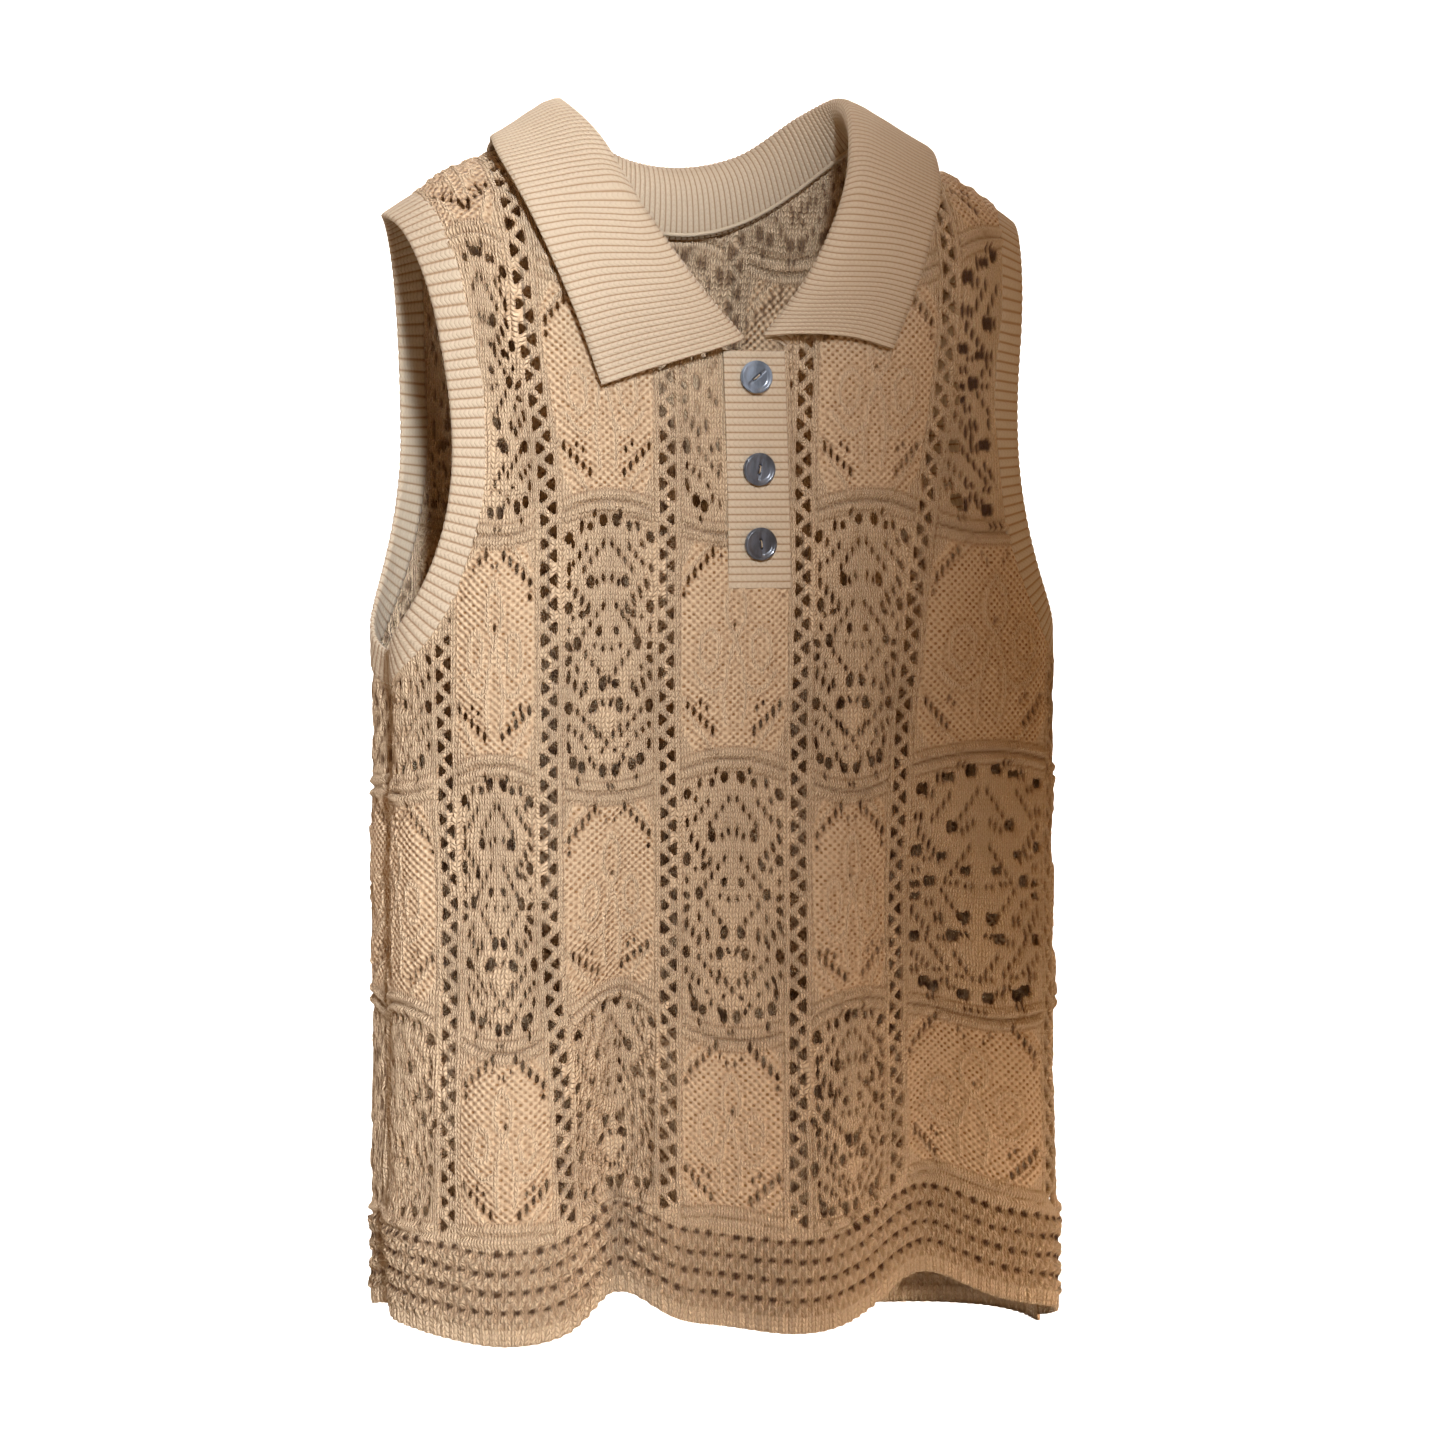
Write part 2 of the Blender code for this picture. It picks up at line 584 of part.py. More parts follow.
def path_length(path):
    return float(np.linalg.norm(np.diff(path, axis=0), axis=1).sum())


def edge_rows(side, path, reaches, hand=RIGHT):
    """Rows of points beside a panel's right-hand edge, or its mirror, at the given distances off it."""
    along = unit(np.gradient(path, axis=0))
    off = np.stack([-along[:, 1], along[:, 0]], 1)
    near_seam = np.exp((path[:, 1] - shoulder_height(path[:, 0])) / SEAM_FADE)
    off[:, 1] -= 2 * SHOULDER_FALL * path[:, 0] * off[:, 0] * near_seam
    rows = [path + off * reach for reach in reaches]
    return np.array([cloth_point(side, row[:, 0] * hand, row[:, 1], np.zeros(len(row))) for row in rows])


def sheet_normals(middle, closed=False):
    """Which way a grid of points faces, its columns being one way along and its rows the other."""
    along = np.gradient(middle, axis=1)
    if closed:
        along = np.roll(middle, -1, axis=1) - np.roll(middle, 1, axis=1)
    return unit(np.cross(along, np.gradient(middle, axis=0)))


def armhole_band(name, hand):
    """A closed ribbed strip round one armhole, which carries on the panels' surface."""
    reaches = -np.array([EDGE_CLEAR, BAND_WIDTH])
    halves = []
    for side in (FRONT, BACK):
        edge = armhole_curve(side)
        before = edge[0] + (edge[0] - edge[1])
        after = edge[-1] + (0, 0.001)
        edge = spaced(edge, BAND_RIB_PITCH / 2)
        halves.append(edge_rows(side, np.concatenate([[before], edge, [after]]), reaches, hand)[:, 1:-1])
    middle = np.concatenate([halves[0][:, :-1], halves[1][:, :0:-1]], axis=1)
    middle = middle[:, : middle.shape[1] // 2 * 2]
    if hand == RIGHT:
        middle = middle[:, ::-1]
    return ribbed_sheet(name, middle, BAND_THICK, closed=True)


def collar_seam(hand):
    """The collar's first two rows, from the middle back to one front end."""
    reaches = np.array([EDGE_CLEAR, STAND_FOOT])
    back = spaced(neck_curve(BACK)[::-1], COLLAR_END_GAP)
    front = spaced(neck_curve(FRONT), COLLAR_END_GAP)[:-1]
    back, front = edge_rows(BACK, back, reaches, hand), edge_rows(FRONT, front, -reaches, hand)
    return np.concatenate([back[:, :-1], front[:, 1:]], 1)


def read_row(row, share):
    """A row of points read at the given shares of its length."""
    step = np.linalg.norm(np.diff(row, axis=0), axis=1)
    along = np.concatenate([[0], np.cumsum(step)])
    return np.stack([np.interp(share * along[-1], along, row[:, k]) for k in range(3)], 1)


def laid_over(points, least):
    """Points moved out where they would lie closer to the panels than the least lift."""
    places, ways = [], []
    for side in (FRONT, BACK):
        u, below = np.meshgrid(np.linspace(-0.140, 0.140, 101), np.linspace(0.0005, 0.170, 58))
        flat = np.stack([u, shoulder_height(u) - below], -1).reshape(-1, 2)
        u, h = flat[inside(flat, panel_outline(side))].T
        places.append(cloth_point(side, u, h, np.zeros(u.shape)))
        ways.append(unit(cloth_point(side, u, h, np.full(u.shape, 0.001)) - places[-1]))
    places, ways = np.concatenate(places), np.concatenate(ways)
    nearest = np.array([np.argmin(((places - p) ** 2).sum(1)) for p in points])
    short = least - ((points - places[nearest]) * ways[nearest]).sum(1)
    push = (short + np.sqrt(short**2 + 0.0005**2)) / 2
    return points + ways[nearest] * push[:, None]


def collar():
    """The ribbed collar: its stand rises from the neck seam and its fall turns over the panels."""
    left, right = collar_seam(LEFT), collar_seam(RIGHT)
    count = 4 * round(path_length(right[0]) / COLLAR_RIB_PITCH)
    share = np.linspace(-1, 1, count + 1)
    seam = []
    for row in (0, 1):
        ends = read_row(left[row], -share[share < 0]), read_row(right[row], share[share >= 0])
        seam.append(np.concatenate(ends))
    columns = list(zip(*COLLAR_STATIONS))
    fold = np.stack([smooth_column(share, columns[0], columns[k]) for k in (1, 2, 3)], 1)
    edges = []
    for side, u, h, lift in zip(*columns[4:]):
        edges.append(cloth_point(side, u, h, np.array(lift)))
    edges = np.array(edges)
    edge = np.stack([smooth_column(share, columns[0], edges[:, k]) for k in range(3)], 1)
    rising = unit(seam[1] - seam[0])
    stand = fold - seam[1]
    fall = edge - fold
    over = unit(fall - (fall * unit(stand)).sum(1, keepdims=True) * unit(stand))
    reach = np.linalg.norm(stand, axis=1, keepdims=True)
    down = unit(np.cross(np.gradient(edge, axis=0), unit(np.cross(np.gradient(edge, axis=0), fall))) * -1)
    width = np.linalg.norm(fall, axis=1, keepdims=True)
    turn_over = np.minimum(FOLD_ROUND, reach * 0.4)
    rows = list(seam)
    for t in COLLAR_ROWS["stand"]:
        upright = seam[1] + rising * reach * STAND_RISE
        rows.append(bezier(seam[1], upright, fold - over * turn_over, fold, t))
    for t in COLLAR_ROWS["fall"]:
        row = bezier(fold, fold + over * FOLD_ROUND, edge - down * width * FALL_REACH, edge, t)
        rows.append(laid_over(row, COLLAR_LEAST_LIFT) if t > COLLAR_FREE else row)
    return ribbed_sheet("collar", np.array(rows), COLLAR_THICK)


def placket_strip(name, facing):
    """One of the placket's two ribbed strips in the slit of the front, its ribs on the side it faces."""
    top = -FRONT_NECK_DROP - COLLAR_END_GAP / 2
    foot = -FRONT_NECK_DROP - PLACKET_LENGTH + SEAM_GAP
    count = 2 * round((top - foot) / RIB_PITCH)
    heights = np.linspace(foot, top, count + 1)
    across = np.array([1, 0.0, -1]) * (PLACKET_HALF - SEAM_GAP) * facing
    u, h = np.meshgrid(across, heights, indexing="ij")
    middle = cloth_point(FRONT, u, h, np.full(u.shape, facing * PLACKET_LIFT))
    return ribbed_sheet(name, middle, PLACKET_THICK)


def circle(radius, count, centre=(0.0, 0.0)):
    angle = np.linspace(0, 2 * math.pi, count, endpoint=False)
    return np.stack([centre[0] + radius * np.cos(angle), centre[1] + radius * np.sin(angle)], 1)


def button(name, h, turn):
    """A dished two-hole button, just clear of the placket's ribs."""
    holes = [circle(BUTTON_HOLE_RADIUS, 6, (k * BUTTON_HOLE_OFFSET, 0.0)) for k in (1, -1)]
    rings = [circle(BUTTON_RADIUS * BUTTON_RIM, 20), circle(BUTTON_RADIUS * BUTTON_DISH_EDGE, 12)]
    flat, faces = cut_triangles([circle(BUTTON_RADIUS, 20), *holes], np.concatenate(rings))
    faces = turned(flat, faces, 1)
    radius = np.linalg.norm(flat, axis=1) / BUTTON_RADIUS
    dished = smooth_step((BUTTON_RIM - radius) / (BUTTON_RIM - BUTTON_DISH_EDGE))
    back = BUTTON_EDGE_ROUND * (radius > (1 + BUTTON_RIM) / 2)
    front = BUTTON_THICK - BUTTON_DISH * dished - back
    lift = PLACKET_LIFT + PLACKET_THICK / 2 + RIB_HEIGHT + SEAM_GAP
    foot = cloth_point(FRONT, 0.0, h, np.array(lift))
    out = unit(cloth_point(FRONT, 0.0, h, np.array(lift + 0.001)) - foot)
    right = np.array([1.0, 0.0, 0.0])
    up = unit(np.cross(out, right))
    angle = math.radians(turn)
    first = right * math.cos(angle) + up * math.sin(angle)
    second = up * math.cos(angle) - right * math.sin(angle)
    plane = foot + flat[:, :1] * first + flat[:, 1:] * second
    return two_layers(name, plane + front[:, None] * out, plane + back[:, None] * out, faces, "horn_button")


def clear_scene():
    for old in list(bpy.data.objects):
        bpy.data.objects.remove(old, do_unlink=True)


def main():
    clear_scene()
    lace_panel("front_panel", FRONT)
    lace_panel("back_panel", BACK)
    armhole_band("armhole_band_right", RIGHT)
    armhole_band("armhole_band_left", LEFT)
    collar()
    placket_strip("placket_upper", 1)
    placket_strip("placket_under", -1)
    for number, (h, turn) in enumerate(BUTTONS, 1):
        button(f"button_{number}", h, turn)


main()
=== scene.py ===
"""Looks of the sleeveless lace-knit polo vest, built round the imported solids.

The cloth is described flat, as in the part's own source: u runs across a panel from its middle and h
runs up it, with h = 0 level with the origin. Each lace panel is a fine shell: its holes, welts and
strands are worked out on a flat grid and then wrapped round the hollow body.
"""

import json
import math

import bpy
import numpy as np
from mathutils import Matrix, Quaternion, Vector

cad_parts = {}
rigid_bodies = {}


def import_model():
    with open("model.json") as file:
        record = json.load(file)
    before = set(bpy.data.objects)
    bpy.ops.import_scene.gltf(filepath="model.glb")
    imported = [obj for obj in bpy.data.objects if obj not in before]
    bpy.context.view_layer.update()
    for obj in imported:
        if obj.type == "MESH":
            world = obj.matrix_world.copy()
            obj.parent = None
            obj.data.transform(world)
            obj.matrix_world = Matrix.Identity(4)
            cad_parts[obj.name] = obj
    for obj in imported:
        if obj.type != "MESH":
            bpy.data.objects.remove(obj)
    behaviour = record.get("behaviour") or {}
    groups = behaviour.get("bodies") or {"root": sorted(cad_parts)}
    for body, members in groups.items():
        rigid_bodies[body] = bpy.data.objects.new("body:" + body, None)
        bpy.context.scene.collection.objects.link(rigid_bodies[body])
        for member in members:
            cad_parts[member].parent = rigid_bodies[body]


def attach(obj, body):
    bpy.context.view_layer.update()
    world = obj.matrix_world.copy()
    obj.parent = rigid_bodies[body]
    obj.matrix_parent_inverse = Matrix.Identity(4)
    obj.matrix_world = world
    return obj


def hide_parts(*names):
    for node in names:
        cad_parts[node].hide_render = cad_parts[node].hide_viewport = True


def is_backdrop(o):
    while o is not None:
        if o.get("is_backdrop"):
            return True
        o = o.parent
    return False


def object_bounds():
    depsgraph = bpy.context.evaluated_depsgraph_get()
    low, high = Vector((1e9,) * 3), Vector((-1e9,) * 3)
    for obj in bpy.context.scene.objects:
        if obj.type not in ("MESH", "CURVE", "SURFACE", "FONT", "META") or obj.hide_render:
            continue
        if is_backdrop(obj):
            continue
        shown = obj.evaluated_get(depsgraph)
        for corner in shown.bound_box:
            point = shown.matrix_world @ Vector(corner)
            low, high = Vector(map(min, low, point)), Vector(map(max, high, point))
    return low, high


# Driving sizes, the same as the solids'
BODY_LENGTH = 0.535
NECK_HALF = 0.080
SHOULDER_TIP = 0.1385
SHOULDER_RISE = 0.025
SHOULDER_FALL = 2.2
CHEST_HALF_WIDTH = 0.162
CHEST_FRONT_DEPTH = 0.066
CHEST_BACK_DEPTH = 0.074
SECTION_POWER = 2.5
SHOULDER_SEAM_Y = 0.008
BODY_SWAY = 0.005
SWAY_CLOTH = 0.250
BAND_THICK = 0.0024
COLLAR_THICK = 0.0024
SEAM_FADE = 0.030
FRONT, BACK = -1, 1
RIGHT, LEFT = 1, -1
SLOPE_STEP = 0.0004

SECTIONS = (
    # z, half_width, front_depth, back_depth
    (-0.545, 0.1670, 0.069, 0.077),
    (-0.460, 0.1660, 0.067, 0.076),
    (-0.340, 0.1640, 0.065, 0.074),
    (-0.235, 0.1650, 0.067, 0.074),
    (-0.120, 0.1620, 0.066, 0.071),
    (-0.035, 0.1640, 0.063, 0.052),
    (0.035, 0.1660, 0.060, 0.046),
)

SHOULDER_ROUND = {
    FRONT: {"drop": 0.065, "cloth": 0.085},
    BACK: {"drop": 0.100, "cloth": 0.125},
}

# Soft folds, deepest at the hem: out is positive, and each fades to nothing at its top
FOLDS = (
    # side, u, half_width, out, top_h, lean
    (FRONT, -0.112, 0.030, 0.013, -0.130, 0.02),
    (FRONT, -0.066, 0.017, -0.017, -0.230, 0.03),
    (FRONT, 0.026, 0.027, 0.012, -0.180, 0.02),
    (FRONT, -0.022, 0.022, -0.006, -0.300, 0.00),
    (FRONT, 0.088, 0.028, -0.013, -0.240, 0.00),
    (FRONT, 0.146, 0.016, 0.006, -0.280, 0.00),
    (FRONT, -0.198, 0.034, -0.004, -0.500, 0.00),
    (BACK, -0.198, 0.034, -0.004, -0.500, 0.00),
    (BACK, -0.108, 0.026, 0.009, -0.200, -0.02),
    (BACK, -0.048, 0.024, -0.011, -0.260, 0.02),
    (BACK, 0.012, 0.026, 0.010, -0.230, 0.00),
    (BACK, 0.068, 0.022, -0.012, -0.250, -0.02),
    (BACK, 0.118, 0.024, 0.008, -0.220, 0.02),
)
SIDE_VALLEY = {"half_width": 0.018, "at_underarm": 0.010, "at_hem": 0.005, "fade": 0.110}

HEM_DIPS = (
    # side, u, half_width, up, top_h
    (FRONT, -0.198, 0.024, 0.005, -0.480),
    (FRONT, -0.116, 0.034, -0.006, -0.100),
    (FRONT, -0.062, 0.019, 0.015, -0.260),
    (FRONT, 0.014, 0.030, -0.005, -0.220),
    (FRONT, 0.084, 0.030, 0.017, -0.300),
    (FRONT, 0.198, 0.042, -0.015, -0.300),
    (BACK, -0.198, 0.024, 0.005, -0.480),
    (BACK, 0.020, 0.070, -0.010, -0.250),
    (BACK, 0.120, 0.060, -0.016, -0.300),
    (BACK, 0.198, 0.042, -0.015, -0.300),
)

# Lace layout, flat: the zigzag ladders' lines, and the block rows' heights up from the hem
LADDER_LINES = {
    FRONT: (
        # h, then each ladder's u from the left
        (-0.560, -0.139, -0.084, -0.041, 0.016, 0.069, 0.148),
        (-0.483, -0.140, -0.088, -0.041, 0.016, 0.069, 0.150),
        (-0.365, -0.141, -0.096, -0.041, 0.018, 0.068, 0.157),
        (-0.234, -0.144, -0.096, -0.043, 0.020, 0.074, 0.161),
        (-0.154, -0.143, -0.098, -0.042, 0.023, 0.089, 0.163),
        (-0.108, -0.142, -0.103, -0.041, 0.026, 0.097, 0.165),
        (0.030, -0.142, -0.103, -0.041, 0.026, 0.100, 0.165),
    ),
    BACK: (
        (-0.560, -0.140, -0.084, -0.028, 0.028, 0.084, 0.140),
        (0.030, -0.140, -0.084, -0.028, 0.028, 0.084, 0.140),
    ),
}
HEM_BAND = 0.047
BLOCK_EDGES = (0.0, 0.047, 0.140, 0.252, 0.370, 0.488, 0.606)
BORDER_SHIFT = 0.0030  # an open block pushes its borders away, more at their middles
BORDER_BOW = 0.0050

NECK_DROP = {FRONT: 0.108, BACK: 0.066}
PLACKET_HALF = 0.0142
PLACKET_LENGTH = 0.109
UNDERARM_Z = -0.242
ARMHOLE_NARROWEST = {FRONT: 0.124, BACK: 0.128}
ARMHOLE_WAIST_H = -0.150
ARMHOLE_UNDER_REACH = 0.034
ARMHOLE_LOW_REACH, ARMHOLE_HIGH_REACH, ARMHOLE_TIP_REACH = 0.068, 0.050, 0.040
FRONT_NECK_REACH = ((0.077, -0.030), (0.031, -0.085))

PLACKET_THICK = 0.0018
PLACKET_LIFT = 0.0011
SEAM_GAP = 0.0003

COLLAR_STATIONS = (
    # share, fold_x, fold_y, fold_z, edge_side, edge_u, edge_h, edge_lift
    (-1.00, -0.0040, -0.0715, -0.0840, FRONT, -0.072, -0.1250, 0.0070),
    (-0.86, -0.0260, -0.0695, -0.0590, FRONT, -0.083, -0.0900, 0.0090),
    (-0.72, -0.0470, -0.0600, -0.0260, FRONT, -0.096, -0.0570, 0.0110),
    (-0.58, -0.0610, -0.0330, 0.0090, FRONT, -0.103, -0.0280, 0.0095),
    (-0.44, -0.0680, 0.0080, 0.0275, FRONT, -0.101, -0.0030, 0.0060),
    (-0.30, -0.0570, 0.0340, 0.0235, BACK, -0.082, -0.0640, 0.0065),
    (-0.15, -0.0310, 0.0490, 0.0050, BACK, -0.038, -0.0820, 0.0050),
    (0.00, 0.0000, 0.0530, -0.0010, BACK, 0.000, -0.0830, 0.0050),
    (0.15, 0.0310, 0.0490, 0.0050, BACK, 0.038, -0.0820, 0.0050),
    (0.30, 0.0570, 0.0340, 0.0235, BACK, 0.082, -0.0640, 0.0065),
    (0.44, 0.0690, 0.0080, 0.0300, FRONT, 0.105, 0.0000, 0.0070),
    (0.58, 0.0610, -0.0320, 0.0100, FRONT, 0.100, -0.0340, 0.0060),
    (0.72, 0.0465, -0.0600, -0.0230, FRONT, 0.090, -0.0560, 0.0055),
    (0.86, 0.0280, -0.0695, -0.0570, FRONT, 0.078, -0.0820, 0.0055),
    (1.00, 0.0070, -0.0715, -0.0825, FRONT, 0.066, -0.1080, 0.0055),
)
COLLAR_LEAST_LIFT = 0.0045
COLLAR_END_GAP = 0.0015
FOLD_ROUND = 0.008
STAND_FOOT = 0.0035
STAND_RISE, FALL_REACH = 0.30, 0.35
COLLAR_FREE = 0.3
LAID_HALF, LAID_DOWN = 0.140, 0.170  # the part of the panels under the collar

BUTTON_RADIUS = 0.0075
BUTTON_THICK = 0.0026
BUTTON_RIM_RINGS = (0.80, 0.86, 0.90, 0.94, 0.97, 1.0)
BUTTON_SPOKES = 72
BUTTON_HOLE, BUTTON_HOLE_OFF = 0.00085, 0.0017
GROOVE_REACH, GROOVE_DEPTH = 0.0058, 0.00045
BUTTONS = (
    # name, h, turn of its two holes in degrees, how blue it is
    ("button_1", -0.121, 40, 1.0),
    ("button_2", -0.163, 80, 0.25),
    ("button_3", -0.197, 95, 0.1),
)

# Fineness of the shells
GRID = {FRONT: (0.00097, 0.00114), BACK: (0.00128, 0.00140)}
STITCH_U, STITCH_H = 0.0027, 0.0024
PANEL_LIFT = 0.0008  # of the shell from the middle of the solid it stands for
HOLE_WALL = 0.0012
EDGE_MARGIN = 0.0032  # of uncut cloth at a panel's edge
FAR_OFF = 0.004  # from any hole: no hole's distance is kept beyond it
SIDE_INSET = 0.002  # of a block that ends at a side seam
WIDE_BLOCK, WIDE_GROW = 0.0190, 1.25
BROAD_BLOCK = 0.0280  # of half width, from which every run has one hole more
UNBACKED = (0.1045, -0.196)  # beyond this u and h no cloth lies behind the front, and its holes are uncut pits painted dark, painted shade in place of open holes
WELT_RISE = 0.0019  # of the two ridges between rows of blocks
CORD_RISE = 0.0011  # of the leaf lines in the closed blocks
KNIT_BIAS = -0.06  # lean of every open hole to the left, as the cloth's own twist gives it

# Ladders, from the middle of each
LADDER_PITCH = 0.0108
LADDER_HOLE_OFFSET = 0.00135
LADDER_HOLE = (0.0023, 0.0038)
WEDGE_ROUND = 0.0014
LADDER_CORD = 0.0044
LADDER_GUTTER = 0.0062
LADDER_HALF = 0.0068
LADDER_START, LADDER_TOP = 0.004, 0.020  # of its holes over the hem band, and over h = 0

# Half width and half height of the holes of an open block
HOLE_SIZES = {
    "small": (0.00065, 0.00145),
    "slot": (0.00066, 0.00220),
    "long": (0.00075, 0.00300),
    "oval": (0.00110, 0.00230),
    "big": (0.00150, 0.00300),
}
# The right half of an open block's chart, in shares of its half width and half height. A run is a row
# of holes which steps outwards (inwards where its way is -1) and up, in metres, from one to the next.
# A hole leans outwards at its top, in radians.
OPEN_CHART = (
    # share_x, share_y, count, way, up, size, lean
    (0.14, 0.87, 1, 0, 0.0, "big", -0.20),
    (0.30, 0.92, 1, 0, 0.0, "slot", -0.15),
    (0.44, 0.84, 1, 0, 0.0, "oval", 0.00),
    (0.63, 0.85, 1, 0, 0.0, "long", -0.10),
    (0.78, 0.74, 1, 0, 0.0, "slot", -0.20),
    (0.92, 0.80, 1, 0, 0.0, "big", -0.30),
    (0.08, 0.71, 4, 1, -0.0038, "slot", -0.12),
    (0.50, 0.70, 3, 1, -0.0036, "slot", -0.12),
    (0.94, 0.58, 1, 0, 0.0, "long", -0.10),
    (0.88, 0.46, 4, -1, -0.0036, "long", -0.14),
    (0.12, 0.48, 2, 1, -0.0020, "slot", 0.10),
    (0.40, 0.46, 1, 0, 0.0, "big", 0.00),
    (0.94, 0.30, 1, 0, 0.0, "big", -0.10),
    (0.16, 0.29, 4, 1, -0.0040, "slot", -0.14),
    (0.60, 0.24, 1, 0, 0.0, "oval", -0.10),
    (0.78, 0.22, 1, 0, 0.0, "small", 0.00),
    (0.92, 0.14, 1, 0, 0.0, "slot", 0.20),
    (0.17, 0.12, 1, 0, 0.0, "oval", -0.20),
    (0.10, 0.00, 1, 0, 0.0, "small", 0.00),
    (0.30, 0.02, 1, 0, 0.0, "small", -0.20),
    (0.70, 0.04, 1, 0, 0.0, "big", 0.00),
    (0.94, 0.02, 1, 0, 0.0, "oval", 0.50),
    (0.93, -0.08, 1, 0, 0.0, "oval", -0.50),
    (0.52, -0.04, 4, -1, -0.0038, "slot", 0.10),
    (0.72, -0.14, 1, 0, 0.0, "slot", 0.05),
    (0.14, -0.24, 1, 0, 0.0, "big", -0.15),
    (0.92, -0.20, 3, -1, -0.0036, "long", -0.14),
    (0.52, -0.26, 1, 0, 0.0, "long", 0.05),
    (0.12, -0.37, 1, 0, 0.0, "slot", 0.40),
    (0.28, -0.39, 1, 0, 0.0, "big", 0.00),
    (0.44, -0.42, 1, 0, 0.0, "slot", 0.10),
    (0.93, -0.42, 1, 0, 0.0, "big", 0.00),
    (0.72, -0.44, 4, -1, -0.0036, "slot", 0.12),
    (0.92, -0.56, 3, -1, -0.0024, "slot", -0.20),
    (0.30, -0.54, 3, -1, -0.0036, "slot", 0.12),
    (0.14, -0.84, 1, 0, 0.0, "big", 0.00),
    (0.28, -0.80, 1, 0, 0.0, "slot", 0.15),
    (0.16, -0.70, 1, 0, 0.0, "small", -0.40),
    (0.40, -0.76, 1, 0, 0.0, "slot", -0.15),
    (0.50, -0.68, 1, 0, 0.0, "small", 0.40),
    (0.56, -0.82, 1, 0, 0.0, "big", 0.00),
    (0.78, -0.80, 1, 0, 0.0, "big", 0.05),
    (0.67, -0.92, 1, 0, 0.0, "slot", 0.00),
    (0.90, -0.70, 1, 0, 0.0, "long", 0.10),
    (0.05, -0.95, 1, 0, 0.0, "small", 0.00),
)
# Runs of slots in a closed block: each starts at its outermost slot and steps inwards
CLOSED_SLOTS = (
    # share_x, share_y, count, grid_columns, up, half_wide, half_tall
    (0.90, 0.56, 5, 3, 0.0031, 0.00092, 0.00265),
    (0.92, 0.44, 1, 0, 0.0, 0.00095, 0.00160),
    (0.24, 0.80, 2, 3, -0.0030, 0.00050, 0.00160),
    (0.90, -0.48, 5, 3, -0.0029, 0.00092, 0.00260),
    (0.60, -0.48, 2, 3, -0.0024, 0.00080, 0.00160),
    (0.00, 0.20, 1, 0, 0.0, 0.00085, 0.00140),
)
CLOSED_CORDS = (
    # raised lines in the right half of a closed block, each through points of share_x and share_y
    ((0.00, 0.62), (0.15, 0.48), (0.20, 0.34), (0.14, 0.20), (0.00, 0.08)),
    ((0.30, 0.06), (0.46, 0.18), (0.64, 0.10), (0.68, -0.08), (0.52, -0.22), (0.36, -0.16), (0.30, 0.06)),
    ((0.04, 0.04), (0.16, -0.20), (0.22, -0.44), (0.16, -0.70)),
    ((0.16, -0.30), (0.40, -0.40), (0.60, -0.34), (0.80, -0.20)),
    ((0.97, 0.55), (0.70, 0.76), (0.42, 0.92)),
    ((0.97, -0.42), (0.74, -0.66), (0.40, -0.92)),
)
EYELET_ROWS = (0.0150, 0.0240, 0.0330, 0.0420)
EYELET_PITCH = 0.0060
EYELET = (0.00150, 0.00125)
HEM_EDGE = 0.0072
HEM_RIB_PITCH = 0.0044
HEM_RIB_RISE = 0.0008
STRAND_HALF, STRAND_RISE = 0.20, 0.0019  # half width, in eyelet pitches, and height in metres

# Relief and shade of the lace, in metres off the cloth's middle or from the line named
WELT_OFF, WELT_HALF, WELT_GROOVE = 0.0027, 0.0024, 0.0011
PUFF_RISE = 0.0010  # of a closed block's middle
CORD_HALF, CORD_SHADE_OFF = 0.0015, 0.0024
MOSS_REACH = 1.62  # sum of a block's shares at which its moss ends, so that its corners stay plain
DOT_PITCH = 0.0044  # of the gutters' dots, up the cloth
ZIGZAG_LIMIT = 0.004
UNEVENNESS = ((0.004, 0.00010), (0.012, 0.00025), (0.045, 0.0008))  # size and height
HOLE_SINK, HOLE_ROUND = 0.00075, 0.0015
HOLE_LIP, HOLE_LIP_FROM, HOLE_LIP_REACH = 0.00025, 0.0004, 0.0012
EDGE_SINK, EDGE_ROUND = 0.0004, 0.0015
SEAM_SINK, SEAM_RIDGE, SEAM_RIDGE_OFF, SEAM_HALF = 0.0006, 0.0003, 0.0016, 0.0010
PIT_DEPTH, PIT_EDGE = 0.0006, 0.0006
HOLE_SHADE, CORD_SHADE = 0.75, 0.5
LACE_VALUES = ("moss", "plain", "shade", "deep")
# share of the uncut pits' painted shade that is kept at the back
HEM_SHADE, BACK_PIT_SHADE = 0.70, 0.55


def unit(vectors):
    """Vectors of length one."""
    length = np.linalg.norm(vectors, axis=-1, keepdims=True)
    return vectors / np.maximum(length, 1e-12)


def hermite(t, span, i, values, slopes):
    """Values a share t of the way from knot i to the next, on a curve with the given slopes."""
    start = (2 * t**3 - 3 * t**2 + 1) * values[i] + (t**3 - 2 * t**2 + t) * span * slopes[i]
    end = (3 * t**2 - 2 * t**3) * values[i + 1] + (t**3 - t**2) * span * slopes[i + 1]
    return start + end


def smooth_column(at, knots, values):
    """A smooth curve through a table's column, read at the given places."""
    knots, values = np.asarray(knots, float), np.asarray(values, float)
    slopes = np.gradient(values, knots)
    i = np.clip(np.searchsorted(knots, at) - 1, 0, len(knots) - 2)
    span = knots[i + 1] - knots[i]
    t = np.clip((at - knots[i]) / span, 0.0, 1.0)
    return hermite(t, span, i, values, slopes)


def smooth_step(t):
    t = np.clip(t, 0.0, 1.0)
    return t * t * (3 - 2 * t)


def hump(distance, half_width):
    """A rounded ridge's height, from 1 on its line to 0 at its half width."""
    return smooth_step(1 - np.abs(distance) / half_width)


